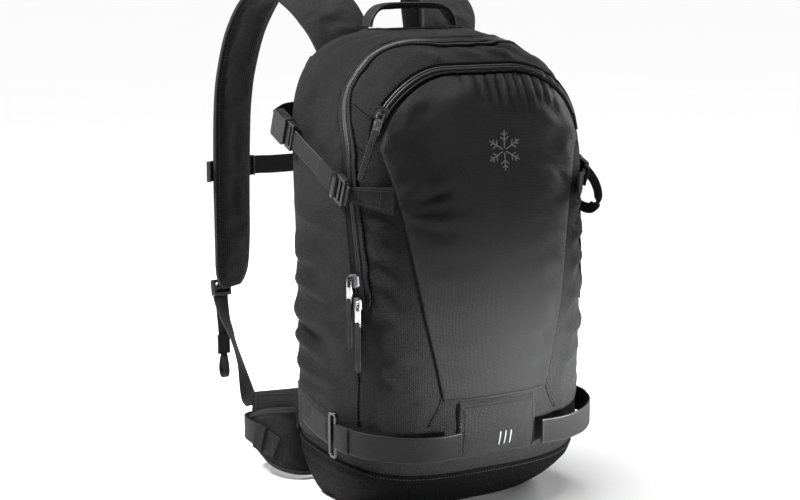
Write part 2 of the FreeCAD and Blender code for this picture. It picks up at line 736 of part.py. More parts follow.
def sternum_band(label, centre, along, out):
    """A band across the strap's outer face, hooked round both of its edges."""
    body = new_body(label)
    plate = new_sketch(body, label + "Plate", "XY_Plane")
    rectangle(plate, "Dims.band_wide", "Dims.band_tall")
    pad(body, plate, "Dims.band_thick")
    hooks = new_sketch(body, label + "Hooks", "XY_Plane")
    place = "Dims.band_wide / 2 - Dims.band_thick / 2"
    for sign in ("", "-"):
        rectangle(hooks, "Dims.band_thick", "Dims.band_tall", f"{sign}({place})")
    pad(body, hooks, "Dims.band_hook", True)
    clearance = dim("strap_thick") / 2 + 0.6
    placed(body, Vector(centre) + Vector(out).normalize() * clearance, along, out)


def build_sternum_strap():
    side_axis = Vector(STRAIGHT_SIDE).normalize()
    out = Vector(-side_axis.y, side_axis.x, 0)
    upper, lower = Vector(STRAP_LINE[STRAIGHT_TOP][0]), Vector(STRAP_LINE[STRAIGHT_END][0])
    along = (upper - lower).normalize()
    centre = sternum_centre()
    for side, turn in (("left", Vector), ("right", flip)):
        sternum_band(f"sternum_band_{side}", turn(centre), turn(along), turn(out))
    edge = centre + side_axis * (dim("band_wide") / 2 + 0.3) + out * (dim("strap_thick") / 2 + 1)
    inner = Vector(-CHEST_GAP - dim("plug_base"), edge.y + 2, edge.z)
    web = ribbon([edge, edge + Vector(10, 2, 0), inner], (0, 0, 1), dim("narrow_webbing"),
                 dim("webbing_thick"))
    feature("sternum_webbing_left", web)
    far = Vector(-CHEST_GAP - dim("socket_long") - 7, inner.y, inner.z)
    web = ribbon([edge, edge + Vector(10, 2, 0), far], (0, 0, 1), dim("narrow_webbing"),
                 dim("webbing_thick"))
    feature("sternum_webbing_right", mirrored(web))
    out = Vector(0, 1, 0)
    buckle_plug("sternum_buckle_plug", inner + Vector(dim("plug_base") + 0.2, 0, 0), (-1, 0, 0), out)
    buckle_socket("sternum_buckle_socket", flip(far) + Vector(-0.2, 0, 0), (-1, 0, 0), out)


def build_hip_hardware():
    out = Vector(0, 1, 0)
    buckle_plug("hip_buckle_plug", (-24.8, 166, 45), (-1, 0, 0), out)
    buckle_socket("hip_buckle_socket", (37.8, 166, 45), (-1, 0, 0), out)


def build_ski_rings():
    """The moulded rings that the ski straps start from."""
    for side, sign in (("left", -1), ("right", 1)):
        body = new_body(f"ski_ring_{side}")
        ring = new_sketch(body, f"SkiRing{side}", "XY_Plane")
        rectangle(ring, "Dims.ring_wide", "Dims.ring_tall")
        rectangle(ring, "Dims.ring_wide - 2 * Dims.ring_bar", "Dims.ring_tall - 2 * Dims.ring_bar")
        block = pad(body, ring, "Dims.ring_bar")
        soften(body, block, 5, on_rim(dim("ring_wide"), dim("ring_tall")))
        placed(body, (sign * 137.5, -37, 86), (0, 0, 1), (sign, -0.06, 0))


def check_and_write():
    doc.recompute()
    for item in doc.Objects:
        if "Invalid" in item.State or "Error" in item.State:
            raise RuntimeError(f"{item.Label}: {item.State}")
    os.makedirs("parts", exist_ok=True)
    for old in os.listdir("parts"):
        os.remove(os.path.join("parts", old))
    for piece in pieces:
        shape = piece.Shape
        if shape.isNull() or not shape.isValid() or not shape.Solids:
            raise RuntimeError(f"{piece.Label}: bad shape")
        shape.exportStep(f"parts/{piece.Label}.step")
        box = shape.BoundBox
        print(f"{piece.Label:32s} solids {len(shape.Solids)} volume {shape.Volume / 1000:8.2f} cm3  "
              f"x {box.XMin:7.1f} {box.XMax:7.1f}  y {box.YMin:7.1f} {box.YMax:7.1f}  "
              f"z {box.ZMin:7.1f} {box.ZMax:7.1f}")


build_bag_shells()
build_base_boot()
build_main_zip()
build_front_pocket()
build_back()
build_side_wings()
build_shoulder_straps()
build_strap_webbing()
build_lower_anchors()
build_grab_handle()
build_compression_webbing()
build_compression_tabs()
build_ski_straps()
build_hip_belt()
build_frame_sheet()
build_zip_runners()
build_compression_hardware()
build_strap_hardware()
build_sternum_strap()
build_hip_hardware()
build_ski_rings()
check_and_write()
print(len(pieces), "pieces")
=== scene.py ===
import math

import bpy
import numpy as np
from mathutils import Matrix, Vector
from mathutils.bvhtree import BVHTree


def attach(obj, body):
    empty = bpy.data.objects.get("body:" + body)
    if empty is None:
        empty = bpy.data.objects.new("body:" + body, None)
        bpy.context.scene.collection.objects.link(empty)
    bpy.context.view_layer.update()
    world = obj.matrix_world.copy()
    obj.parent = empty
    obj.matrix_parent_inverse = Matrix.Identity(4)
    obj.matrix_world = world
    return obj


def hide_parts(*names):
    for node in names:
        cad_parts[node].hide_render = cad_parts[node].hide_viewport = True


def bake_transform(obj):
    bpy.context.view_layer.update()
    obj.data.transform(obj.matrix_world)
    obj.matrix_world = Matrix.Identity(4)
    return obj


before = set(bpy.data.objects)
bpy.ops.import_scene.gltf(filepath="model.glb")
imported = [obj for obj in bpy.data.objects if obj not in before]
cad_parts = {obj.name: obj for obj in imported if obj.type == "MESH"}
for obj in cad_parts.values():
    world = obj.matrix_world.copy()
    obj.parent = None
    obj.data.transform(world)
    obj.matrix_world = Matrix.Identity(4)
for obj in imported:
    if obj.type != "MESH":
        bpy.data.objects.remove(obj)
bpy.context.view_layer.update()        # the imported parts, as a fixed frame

# Shapes are worked out in millimetres, in the frame of the CAD parts, and become metres in a mesh.
MM = 0.001
SIDES = (("left", 1.0), ("right", -1.0))


# ---------------------------------------------------------------- shader groups

def new_group(name, inputs, outputs):
    """A shader group with named sockets. Sockets are (name, kind, default)."""
    group = bpy.data.node_groups.new(name, "ShaderNodeTree")
    for label, kind, default in inputs:
        socket = group.interface.new_socket(label, in_out="INPUT", socket_type="NodeSocket" + kind)
        if default is not None:
            socket.default_value = default
    for label, kind in outputs:
        group.interface.new_socket(label, in_out="OUTPUT", socket_type="NodeSocket" + kind)
    return group, group.nodes.new("NodeGroupInput"), group.nodes.new("NodeGroupOutput")


def maths(tree, operation, first, second=None, clamp=False):
    node = tree.nodes.new("ShaderNodeMath")
    node.operation, node.use_clamp = operation, clamp
    for socket, value in zip(node.inputs, (first, second)):
        if value is None:
            continue
        if isinstance(value, (int, float)):
            socket.default_value = value
        else:
            tree.links.new(value, socket)
    return node.outputs[0]


def noise(tree, vector, scale, detail, roughness=0.55):
    node = tree.nodes.new("ShaderNodeTexNoise")
    node.inputs["Scale"].default_value = scale
    node.inputs["Detail"].default_value = detail
    node.inputs["Roughness"].default_value = roughness
    if vector is not None:
        tree.links.new(vector, node.inputs["Vector"])
    return node.outputs["Fac"]


def spread(tree, value, low, high, to_low=0.0, to_high=1.0):
    node = tree.nodes.new("ShaderNodeMapRange")
    node.interpolation_type = "SMOOTHSTEP"
    tree.links.new(value, node.inputs["Value"])
    for label, number in (("From Min", low), ("From Max", high), ("To Min", to_low), ("To Max", to_high)):
        node.inputs[label].default_value = number
    return node.outputs["Result"]


def blend_colours(tree, share, first, second):
    node = tree.nodes.new("ShaderNodeMix")
    node.data_type = "RGBA"
    tree.links.new(share, node.inputs["Factor"])
    for socket, value in ((node.inputs[6], first), (node.inputs[7], second)):
        if isinstance(value, (tuple, list)):
            socket.default_value = (*value[:3], 1)
        else:
            tree.links.new(value, socket)
    return node.outputs[2]


def build_weave_group():
    """Plain weave in cloth millimetres: the height of over and under threads, and uneven yarn."""
    tree, given, out = new_group(
        "Plain weave", [("Cloth", "Vector", None), ("Thread", "Float", 0.8), ("Slub", "Float", 0.5)],
        [("Height", "Float"), ("Yarn", "Float")])
    parts = tree.nodes.new("ShaderNodeSeparateXYZ")
    tree.links.new(given.outputs["Cloth"], parts.inputs[0])
    turns = [maths(tree, "MULTIPLY", maths(tree, "DIVIDE", axis, given.outputs["Thread"]), math.pi)
             for axis in (parts.outputs["X"], parts.outputs["Y"])]
    warp = maths(tree, "ABSOLUTE", maths(tree, "SINE", turns[0]))
    weft = maths(tree, "ABSOLUTE", maths(tree, "SINE", turns[1]))
    crossing = maths(tree, "MULTIPLY", maths(tree, "COSINE", turns[0]), maths(tree, "COSINE", turns[1]))
    over = spread(tree, crossing, -0.25, 0.25)
    woven = tree.nodes.new("ShaderNodeMix")
    tree.links.new(over, woven.inputs["Factor"])
    tree.links.new(warp, woven.inputs[2])
    tree.links.new(weft, woven.inputs[3])
    yarn = noise(tree, given.outputs["Cloth"], 0.45, 4.0, 0.7)
    slub = maths(tree, "MULTIPLY", maths(tree, "SUBTRACT", yarn, 0.5), given.outputs["Slub"])
    tree.links.new(maths(tree, "ADD", woven.outputs[0], slub), out.inputs["Height"])
    tree.links.new(yarn, out.inputs["Yarn"])
    return tree


def build_rib_group():
    """Ribs across a webbing: the cloth's X runs across it and its Y along it."""
    tree, given, out = new_group(
        "Webbing ribs", [("Cloth", "Vector", None), ("Pitch", "Float", 1.6), ("Half width", "Float", 10.0)],
        [("Height", "Float"), ("Selvedge", "Float")])
    parts = tree.nodes.new("ShaderNodeSeparateXYZ")
    tree.links.new(given.outputs["Cloth"], parts.inputs[0])
    run = maths(tree, "DIVIDE", parts.outputs["Y"], given.outputs["Pitch"])
    lane = maths(tree, "DIVIDE", parts.outputs["X"], 1.15)
    stagger = maths(tree, "MULTIPLY", maths(tree, "FLOOR", lane), 0.5)
    rib = maths(tree, "ABSOLUTE", maths(tree, "SINE", maths(
        tree, "MULTIPLY", maths(tree, "ADD", run, stagger), math.pi)))
    furrow = maths(tree, "ABSOLUTE", maths(tree, "SINE", maths(tree, "MULTIPLY", lane, math.pi)))
    woven = maths(tree, "MULTIPLY", rib, maths(tree, "POWER", furrow, 0.5))
    edge = maths(tree, "SUBTRACT", given.outputs["Half width"], maths(tree, "ABSOLUTE", parts.outputs["X"]))
    selvedge = spread(tree, edge, 1.2, 1.9, 1.0, 0.0)
    mixed = tree.nodes.new("ShaderNodeMix")
    tree.links.new(selvedge, mixed.inputs["Factor"])
    tree.links.new(woven, mixed.inputs[2])
    mixed.inputs[3].default_value = 0.75
    tree.links.new(mixed.outputs[0], out.inputs["Height"])
    tree.links.new(selvedge, out.inputs["Selvedge"])
    return tree


def build_wear_group():
    """Dust, fading and rubbed edges: a mask of the places that catch wear, and a soft mottle."""
    tree, given, out = new_group(
        "Wear", [("Rubbed edges", "Float", 0.5), ("Mottle size", "Float", 9.0)],
        [("Edge", "Float"), ("Mottle", "Float"), ("Dust", "Float")])
    shape = tree.nodes.new("ShaderNodeNewGeometry")
    place = tree.nodes.new("ShaderNodeTexCoord").outputs["Object"]
    broken = noise(tree, place, 160.0, 4.0, 0.65)
    raised = spread(tree, shape.outputs["Pointiness"], 0.52, 0.62)
    edge = maths(tree, "MULTIPLY", maths(tree, "MULTIPLY", raised, broken), given.outputs["Rubbed edges"],
                 clamp=True)
    mottle_noise = tree.nodes.new("ShaderNodeTexNoise")
    mottle_noise.inputs["Detail"].default_value = 4.0
    tree.links.new(place, mottle_noise.inputs["Vector"])
    tree.links.new(given.outputs["Mottle size"], mottle_noise.inputs["Scale"])
    upward = tree.nodes.new("ShaderNodeSeparateXYZ")
    tree.links.new(shape.outputs["Normal"], upward.inputs[0])
    settled = maths(tree, "MULTIPLY", spread(tree, upward.outputs["Z"], 0.2, 1.0),
                    noise(tree, place, 55.0, 5.0, 0.7))
    tree.links.new(edge, out.inputs["Edge"])
    tree.links.new(mottle_noise.outputs["Fac"], out.inputs["Mottle"])
    tree.links.new(settled, out.inputs["Dust"])
    return tree


WEAVE, RIBS, WEAR = build_weave_group(), build_rib_group(), build_wear_group()


# ---------------------------------------------------------------- materials

def place_group(tree, group, **values):
    node = tree.nodes.new("ShaderNodeGroup")
    node.node_tree = group
    for label, value in values.items():
        socket = node.inputs[label.replace("_", " ")]
        if isinstance(value, (int, float)):
            socket.default_value = value
        else:
            tree.links.new(value, socket)
    return node


def new_material(name):
    material = bpy.data.materials.new(name)
    material.use_nodes = True
    tree = material.node_tree
    return material, tree, tree.nodes["Principled BSDF"]


def set_surface(surface, **values):
    """Sets plain numbers of a surface, such as its sheen weight, on their own sockets."""
    for label, value in values.items():
        surface.inputs[label.replace("_", " ")].default_value = value


def cloth_coordinates(tree):
    node = tree.nodes.new("ShaderNodeAttribute")
    node.attribute_name = "cloth"
    return node.outputs["Vector"]


def bump(tree, surface, height, depth_mm, strength=1.0):
    node = tree.nodes.new("ShaderNodeBump")
    node.inputs["Strength"].default_value = strength
    node.inputs["Distance"].default_value = depth_mm * MM
    tree.links.new(height, node.inputs["Height"])
    tree.links.new(node.outputs["Normal"], surface.inputs["Normal"])


def finish_colour(tree, surface, dark, light, height, wear, edge_gain=0.6, dust_gain=0.12):
    """Colour from a height: where that height is the relief of the cloth, this paints shade into its hollows
    and light onto its crowns. It also fades in patches, catches dust and lightens where it is rubbed.
    """
    # Low height gives the dark colour: painted shade where the height is the relief, uneven tone where it is a
    # plain noise.
    tone = maths(tree, "ADD", maths(tree, "MULTIPLY", height, 0.6),
                 maths(tree, "MULTIPLY", wear.outputs["Mottle"], 0.55), clamp=True)
    base = blend_colours(tree, tone, dark, light)
    rubbed = tuple(min(1.0, channel * 2.6 + 0.006) for channel in light)
    base = blend_colours(tree, maths(tree, "MULTIPLY", wear.outputs["Edge"], edge_gain), base, rubbed)
    dusty = tuple(channel * 1.5 + 0.004 for channel in light)
    base = blend_colours(tree, maths(tree, "MULTIPLY", wear.outputs["Dust"], dust_gain), base, dusty)
    tree.links.new(base, surface.inputs["Base Color"])


def painted_shade_thread(name, tone):
    """Black thread with no shine, darker than the cloth: painted shade of the sunken stitch lines, with only a
    trace of its twist.
    """
    material, tree, surface = new_material(name)
    twist = place_group(tree, WEAVE, Cloth=cloth_coordinates(tree), Thread=0.3, Slub=0.3)
    tree.links.new(blend_colours(tree, twist.outputs["Height"], (0.0, 0.0, 0.0), (tone,) * 3),
                   surface.inputs["Base Color"])
    set_surface(surface, Roughness=1.0, Specular_IOR_Level=0.0)
    bump(tree, surface, twist.outputs["Height"], 0.05)
    return material


def fabric(name, dark, light, thread, depth, rough=(0.6, 0.85), sheen=0.02, slub=1.5, shine=0.18,
           rubbed=0.5, mottle=9.0):
    """A woven fabric: threads over and under, uneven yarn, patchy fading and rubbed edges, with painted shade
    between the threads and painted light on their crowns.
    """
    material, tree, surface = new_material(name)
    weave = place_group(tree, WEAVE, Cloth=cloth_coordinates(tree), Thread=thread, Slub=slub)
    wear = place_group(tree, WEAR, Rubbed_edges=rubbed, Mottle_size=mottle)
    finish_colour(tree, surface, dark, light, weave.outputs["Height"], wear)
    tree.links.new(spread(tree, weave.outputs["Yarn"], 0.3, 0.7, rough[1], rough[0]),
                   surface.inputs["Roughness"])
    set_surface(surface, Sheen_Weight=sheen, Sheen_Roughness=0.45, Specular_IOR_Level=shine)
    bump(tree, surface, weave.outputs["Height"], depth)
    return material


def webbing_cloth(name, dark, light, half_width, pitch):
    """Woven polyester webbing: ribs across it, furrows along it and a smoother selvedge; the colour follows
    the rib height, which paints shade into the furrows.
    """
    material, tree, surface = new_material(name)
    ribs = place_group(tree, RIBS, Cloth=cloth_coordinates(tree), Pitch=pitch, Half_width=half_width)
    wear = place_group(tree, WEAR, Rubbed_edges=0.7, Mottle_size=22.0)
    finish_colour(tree, surface, dark, light, ribs.outputs["Height"], wear)
    tree.links.new(spread(tree, ribs.outputs["Height"], 0.0, 1.0, 0.78, 0.5), surface.inputs["Roughness"])
    set_surface(surface, Sheen_Weight=0.01, Specular_IOR_Level=0.2)
    bump(tree, surface, ribs.outputs["Height"], 0.6)
    return material


def knit_mesh(name, dark, light, pitch=2.6, depth=0.5):
    """Spacer mesh: round holes in a knitted face, in a staggered pattern; the holes are a bump with painted
    shade in them.
    """
    material, tree, surface = new_material(name)
    cloth = cloth_coordinates(tree)
    cells = tree.nodes.new("ShaderNodeTexVoronoi")
    cells.inputs["Scale"].default_value = 1.0 / pitch
    cells.inputs["Randomness"].default_value = 0.12
    tree.links.new(cloth, cells.inputs["Vector"])
    face = spread(tree, cells.outputs["Distance"], 0.2, 0.42)
    yarn = noise(tree, cloth, 2.2, 3.0)
    height = maths(tree, "ADD", face, maths(tree, "MULTIPLY", yarn, 0.3))
    wear = place_group(tree, WEAR, Rubbed_edges=0.4, Mottle_size=12.0)
    # The holes take the dark colour: painted shade.
    finish_colour(tree, surface, dark, light, face, wear)
    tree.links.new(spread(tree, yarn, 0.3, 0.7, 0.9, 0.7), surface.inputs["Roughness"])
    set_surface(surface, Sheen_Weight=0.05, Specular_IOR_Level=0.2)
    bump(tree, surface, height, depth)
    return material


def plastic(name, dark, light, rough):
    """Moulded acetal: spark-eroded grain, slightly glossy, paler along its handled edges."""
    material, tree, surface = new_material(name)
    place = tree.nodes.new("ShaderNodeTexCoord").outputs["Object"]
    grain = noise(tree, place, 2600.0, 2.0)
    flow = noise(tree, place, 130.0, 3.0)
    wear = place_group(tree, WEAR, Rubbed_edges=0.8, Mottle_size=60.0)
    finish_colour(tree, surface, dark, light, flow, wear, 0.5, 0.1)
    tree.links.new(spread(tree, flow, 0.3, 0.7, rough - 0.06, rough + 0.1), surface.inputs["Roughness"])
    bump(tree, surface, grain, 0.05, 0.6)
    return material


def metal(name, dark, light, rough):
    """Cast zinc with a plated face and fine scratches, which vary its tone and roughness."""
    material, tree, surface = new_material(name)
    place = tree.nodes.new("ShaderNodeTexCoord").outputs["Object"]
    stretched = tree.nodes.new("ShaderNodeMapping")
    stretched.inputs["Scale"].default_value = (900.0, 900.0, 120.0)
    tree.links.new(place, stretched.inputs["Vector"])
    scratches = noise(tree, stretched.outputs["Vector"], 1.0, 3.0, 0.7)
    wear = place_group(tree, WEAR, Rubbed_edges=0.6, Mottle_size=180.0)
    tone = maths(tree, "ADD", maths(tree, "MULTIPLY", wear.outputs["Mottle"], 0.7),
                 maths(tree, "MULTIPLY", scratches, 0.3), clamp=True)
    tree.links.new(blend_colours(tree, tone, dark, light), surface.inputs["Base Color"])
    surface.inputs["Metallic"].default_value = 1.0
    tree.links.new(spread(tree, scratches, 0.3, 0.75, rough - 0.08, rough + 0.15),
                   surface.inputs["Roughness"])
    bump(tree, surface, scratches, 0.02, 0.5)
    return material


def rubber_tab(name, dark, light):
    """A moulded puller: close ribs across it in a dull rubber, with painted shade in the furrows between the
    ribs.
    """
    material, tree, surface = new_material(name)
    ribs = place_group(tree, RIBS, Cloth=cloth_coordinates(tree), Pitch=2.0, Half_width=3.75)
    wear = place_group(tree, WEAR, Rubbed_edges=0.6, Mottle_size=80.0)
    finish_colour(tree, surface, dark, light, ribs.outputs["Height"], wear)
    tree.links.new(spread(tree, wear.outputs["Mottle"], 0.3, 0.7, 0.5, 0.7), surface.inputs["Roughness"])
    surface.inputs["Specular IOR Level"].default_value = 0.2
    bump(tree, surface, ribs.outputs["Height"], 0.6)
    return material


def printed_ink(name, dark, light):
    """A thin matt print that sinks into the cloth under it; it is darker in the weave's hollows, as painted
    shade.
    """
    material, tree, surface = new_material(name)
    weave = place_group(tree, WEAVE, Cloth=cloth_coordinates(tree), Thread=0.7, Slub=0.8)
    tree.links.new(blend_colours(tree, weave.outputs["Height"], dark, light), surface.inputs["Base Color"])
    tree.links.new(spread(tree, weave.outputs["Yarn"], 0.3, 0.7, 0.5, 0.7), surface.inputs["Roughness"])
    bump(tree, surface, weave.outputs["Height"], 0.1)
    return material


def floor_paint(name, tone):
    """A pale seamless floor with a very faint mottle."""
    material, tree, surface = new_material(name)
    place = tree.nodes.new("ShaderNodeTexCoord").outputs["Object"]
    cloud = noise(tree, place, 1.5, 2.0)
    tree.links.new(blend_colours(tree, cloud, (tone,) * 3, (tone * 1.02,) * 3), surface.inputs["Base Color"])
    surface.inputs["Roughness"].default_value = 0.9
    return material


shell_cloth = fabric("black shell cloth", (0.0015, 0.0015, 0.0017), (0.0093, 0.0093, 0.0096), 1.5, 1.1)
panel_cloth = fabric("brushed panel cloth", (0.0014, 0.0014, 0.0016), (0.0099, 0.0099, 0.0102), 1.35, 0.9,
                     rough=(0.42, 0.58), sheen=0.01, mottle=7.0, shine=0.25)
# Darker than the shell: partly a coated cloth, partly painted shade, since the base sits in shadow.
boot_cloth_with_painted_shade = fabric("coated base cloth with painted shade", (0.0005, 0.0005, 0.0006), (0.0036, 0.0036, 0.0037), 1.9, 0.9,
                    rough=(0.5, 0.75), sheen=0.0, rubbed=0.9, slub=1.5, shine=0.04)
wing_cloth = fabric("wing cloth", (0.0019, 0.0019, 0.0020), (0.0098, 0.0098, 0.0102), 1.4, 0.35)
strap_cloth = fabric("strap cloth", (0.0025, 0.0025, 0.0026), (0.0116, 0.0116, 0.0120), 1.1, 0.25,
                     mottle=15.0)
binding_tape = webbing_cloth("edge binding tape", (0.0033, 0.0033, 0.0034), (0.0154, 0.0154, 0.0160), 60.0,
                             1.4)
narrow_web = webbing_cloth("narrow webbing", (0.0016, 0.0016, 0.0018), (0.0140, 0.0140, 0.0145), 10.0, 2.0)
# Darker than the narrow webbing: partly its own colour, partly painted shade, since the ski straps sit in
# shadow.
wide_web_with_painted_shade = webbing_cloth("wide webbing with painted shade", (0.0012, 0.0012, 0.0013), (0.0100, 0.0100, 0.0103), 12.5, 2.2)
mesh_cloth = knit_mesh("strap spacer mesh", (0.0007, 0.0007, 0.0007), (0.0050, 0.0050, 0.0052))
back_mesh = knit_mesh("back spacer mesh", (0.0008, 0.0008, 0.0008), (0.0077, 0.0077, 0.0080), 3.4, 0.8)
tape_cloth = fabric("zip tape", (0.0017, 0.0017, 0.0018), (0.0088, 0.0088, 0.0091), 1.1, 0.25, mottle=30.0)
coil_nylon = plastic("zip coil nylon", (0.0011, 0.0011, 0.0011), (0.0044, 0.0044, 0.0046), 0.42)
black_plastic = plastic("black moulded plastic", (0.0017, 0.0017, 0.0018), (0.0055, 0.0055, 0.0058), 0.36)
ring_plastic = plastic("glossy ring plastic", (0.0022, 0.0022, 0.0023), (0.0077, 0.0077, 0.0080), 0.2)
stiff_plastic = plastic("frame sheet plastic", (0.02, 0.02, 0.021), (0.04, 0.04, 0.042), 0.5)
slider_zinc = metal("slider metal", (0.05, 0.05, 0.052), (0.16, 0.16, 0.163), 0.34)
pull_zinc = metal("bright pull metal", (0.25, 0.25, 0.25), (0.62, 0.62, 0.61), 0.24)
tab_rubber = rubber_tab("ribbed puller tab", (0.0013, 0.0013, 0.0014), (0.0099, 0.0099, 0.0103))
seam_thread = fabric("seam thread", (0.01, 0.01, 0.0105), (0.045, 0.045, 0.047), 0.35, 0.05, slub=0.2)
# This near-black thread is painted shade for the sunken stitch lines.
seam_shade_thread = painted_shade_thread("seam thread painted as shade", 0.0012)
grey_print = printed_ink("grey print", (0.07, 0.07, 0.072), (0.16, 0.16, 0.163))


# ---------------------------------------------------------------- the bag's surface, as in the CAD

BAG_HEIGHT, BAG_HALF_WIDTH, SIDE_BELLY = 467.0, 130.5, 4.5
FRONT_DEPTH, FRONT_BELLY, BACK_DEPTH = 98.0, 12.0, 85.0
BASE_GAP, BASE_ROUNDING, FOOT_INSET, ROOF_SLOPE = 2.6, 75.0, 42.0, 0.09
ZIP_LEAN, ZIP_SETBACK = 0.14, 98.5
FRONT_ZIP_RADIUS, FRONT_ZIP_FLAT, FRONT_ZIP_RISE = 85.0, 33.0, 433.0


def smooth(low, high, value):
    share = np.clip((value - low) / (high - low), 0, 1)
    return share * share * (3 - 2 * share)


def crown(level, start, power):
    share = np.clip((level - start) / (BAG_HEIGHT - start), 0, 1)
    return (1 - share ** power) ** (1 / power)


def foot(level):
    return np.maximum(0, 1 - level / BASE_ROUNDING) ** 2.4


def half_width(level, along):
    belly = SIDE_BELLY * np.sin(np.pi * np.minimum(1, level / 400))
    inset = FOOT_INSET * (1 - 0.66 * smooth(-0.85, 0.3, along))
    return (BAG_HALF_WIDTH + belly) * crown(level, 330, 2.5) - inset * foot(level)


def front_reach(level):
    belly = FRONT_BELLY * np.sin(np.pi * np.minimum(1, level / 360))
    reach = FRONT_DEPTH + belly - 8 * smooth(200, 420, level)
    return reach * crown(level, 380, 2.4) - 1.07 * FOOT_INSET * foot(level)


def back_reach(level):
    return BACK_DEPTH * crown(level, 418, 2.9) - 0.38 * FOOT_INSET * foot(level)


def bag_surface(turn, level, grow=0.0):
    """Points of the bag at a turn about its axis (0 on the right, a quarter turn at the back)."""
    turn, level = np.broadcast_arrays(np.asarray(turn, float), np.asarray(level, float))
    across, along = np.cos(turn), np.sin(turn)
    square = np.where(along > 0, 5.0, 3.2 + smooth(250, 400, level))
    radius = (np.abs(across) ** square + np.abs(along) ** square) ** (-1 / square)
    share = along * radius
    lean = np.sign(share) * np.abs(share) ** (square / 2)
    reach = np.where(along > 0, back_reach(level), front_reach(level)) + grow
    x = (half_width(level, lean) + grow) * across * radius
    y = reach * share
    lift = grow * (smooth(300, BAG_HEIGHT, level) - 1 + smooth(0, 60, level))
    z = level + ROOF_SLOPE * y * smooth(250, 470, level) + lift + BASE_GAP * (1 - smooth(0, 60, level))
    return np.stack([x, y, z], -1)


def zip_depth(z):
    return ZIP_LEAN * z - ZIP_SETBACK


# ---------------------------------------------------------------- mesh helpers

def grid_faces(rows, columns, wrap=False, flip=False, start=0):
    faces = []
    for row in range(rows - 1):
        for column in range(columns if wrap else columns - 1):
            after = (column + 1) % columns
            face = (start + row * columns + column, start + row * columns + after,
                    start + (row + 1) * columns + after, start + (row + 1) * columns + column)
            faces.append(face[::-1] if flip else face)
    return faces


def ring_faces(rows, columns, flip=False, start=0):
    """The skin of a closed form made of rings of points, with a cap on the first and the last ring."""
    last = start + (rows - 1) * columns
    caps = [tuple(range(start, start + columns))[::-1], tuple(range(last, last + columns))]
    return grid_faces(rows, columns, wrap=True, flip=flip, start=start) + (
        [cap[::-1] for cap in caps] if flip else caps)


def two_sided_faces(rows, columns, flip=False):
    """The faces of a sheet given as its top grid and then its under grid, closed round the rim."""
    count = rows * columns
    ring = (list(range(columns)) + [row * columns + columns - 1 for row in range(1, rows)]
            + [(rows - 1) * columns + column for column in range(columns - 2, -1, -1)]
            + [row * columns for row in range(rows - 2, 0, -1)])
    rim = [(b, a, a + count, b + count) for a, b in zip(ring, ring[1:] + ring[:1])]
    return (grid_faces(rows, columns, flip=flip) + grid_faces(rows, columns, flip=not flip, start=count)
            + ([face[::-1] for face in rim] if flip else rim))


def cloth_grid(across, along):
    """Cloth coordinates, across and along in millimetres, for each point of a grid."""
    return np.stack(np.broadcast_arrays(across, along), -1).reshape(-1, 2)


def both_faces(top, under):
    """The points of a sheet's top grid, followed by those of its under grid."""
    return np.vstack([top.reshape(-1, 3), under.reshape(-1, 3)])


def put_in_scene(name, data):
    item = bpy.data.objects.new(name, data)
    bpy.context.scene.collection.objects.link(item)
    return item


def new_piece(name, points, faces, material, cloth, sharp=48):
    """A mesh piece from points in millimetres, with its cloth coordinates in millimetres."""
    mesh = bpy.data.meshes.new(name)
    mesh.from_pydata((np.asarray(points, float) * MM).tolist(), [], faces)
    mesh.validate()
    mesh.polygons.foreach_set("use_smooth", [True] * len(mesh.polygons))
    mesh.set_sharp_from_angle(angle=math.radians(sharp))
    flat = np.zeros((len(mesh.vertices), 3), np.float32)
    flat[:, :2] = np.asarray(cloth, np.float32)[:, :2]
    mesh.attributes.new("cloth", "FLOAT_VECTOR", "POINT").data.foreach_set("vector", flat.ravel())
    mesh.materials.append(material)
    return put_in_scene(name, mesh)


def place(piece, body, *nodes, slot=None):
    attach(piece, body)
    if nodes:
        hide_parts(*nodes)
    return piece


def unit(vectors):
    vectors = np.asarray(vectors, float)
    return vectors / np.maximum(np.linalg.norm(vectors, axis=-1, keepdims=True), 1e-9)


def spaced(points, step):
    """A smooth curve through the points, at an even step."""
    points = np.asarray(points, float)
    if len(points) > 2:
        ends = np.vstack([2 * points[0] - points[1], points, 2 * points[-1] - points[-2]])
        fine = []
        for before, here, there, after in zip(ends, ends[1:], ends[2:], ends[3:]):
            share = np.linspace(0, 1, 24, endpoint=False)[:, None]
            fine.append(0.5 * (2 * here + (there - before) * share
                               + (2 * before - 5 * here + 4 * there - after) * share ** 2
                               + (3 * here - before - 3 * there + after) * share ** 3))
        points = np.vstack([*fine, points[-1:]])
    reach = np.concatenate([[0], np.cumsum(np.linalg.norm(np.diff(points, axis=0), axis=1))])
    marks = np.linspace(0, reach[-1], max(2, int(round(reach[-1] / step)) + 1))
    return np.stack([np.interp(marks, reach, points[:, i]) for i in range(3)], 1)


def run_of(path):
    return unit(np.gradient(path, axis=0))


def lengths(path):
    return np.concatenate([[0], np.cumsum(np.linalg.norm(np.diff(path, axis=0), axis=1))])


def sweep(name, path, side, outline, material, scale=None):
    """Carries an outline of (across, out) along a path. side is the width direction at each station."""
    run = run_of(path)
    side = np.broadcast_to(np.asarray(side, float), path.shape)
    side = unit(side - run * np.sum(side * run, axis=1, keepdims=True))
    out = np.cross(side, run)
    outline = np.asarray(outline, float)
    if outline.ndim == 2:
        outline = np.broadcast_to(outline, (len(path), *outline.shape))
    if scale is not None:
        outline = outline * np.asarray(scale)[:, None, :]
    points = (path[:, None] + side[:, None] * outline[..., :1] + out[:, None] * outline[..., 1:])
    rows, columns = points.shape[:2]
    cloth = cloth_grid(outline[..., 0], lengths(path)[:, None])
    return new_piece(name, points.reshape(-1, 3), ring_faces(rows, columns), material, cloth)


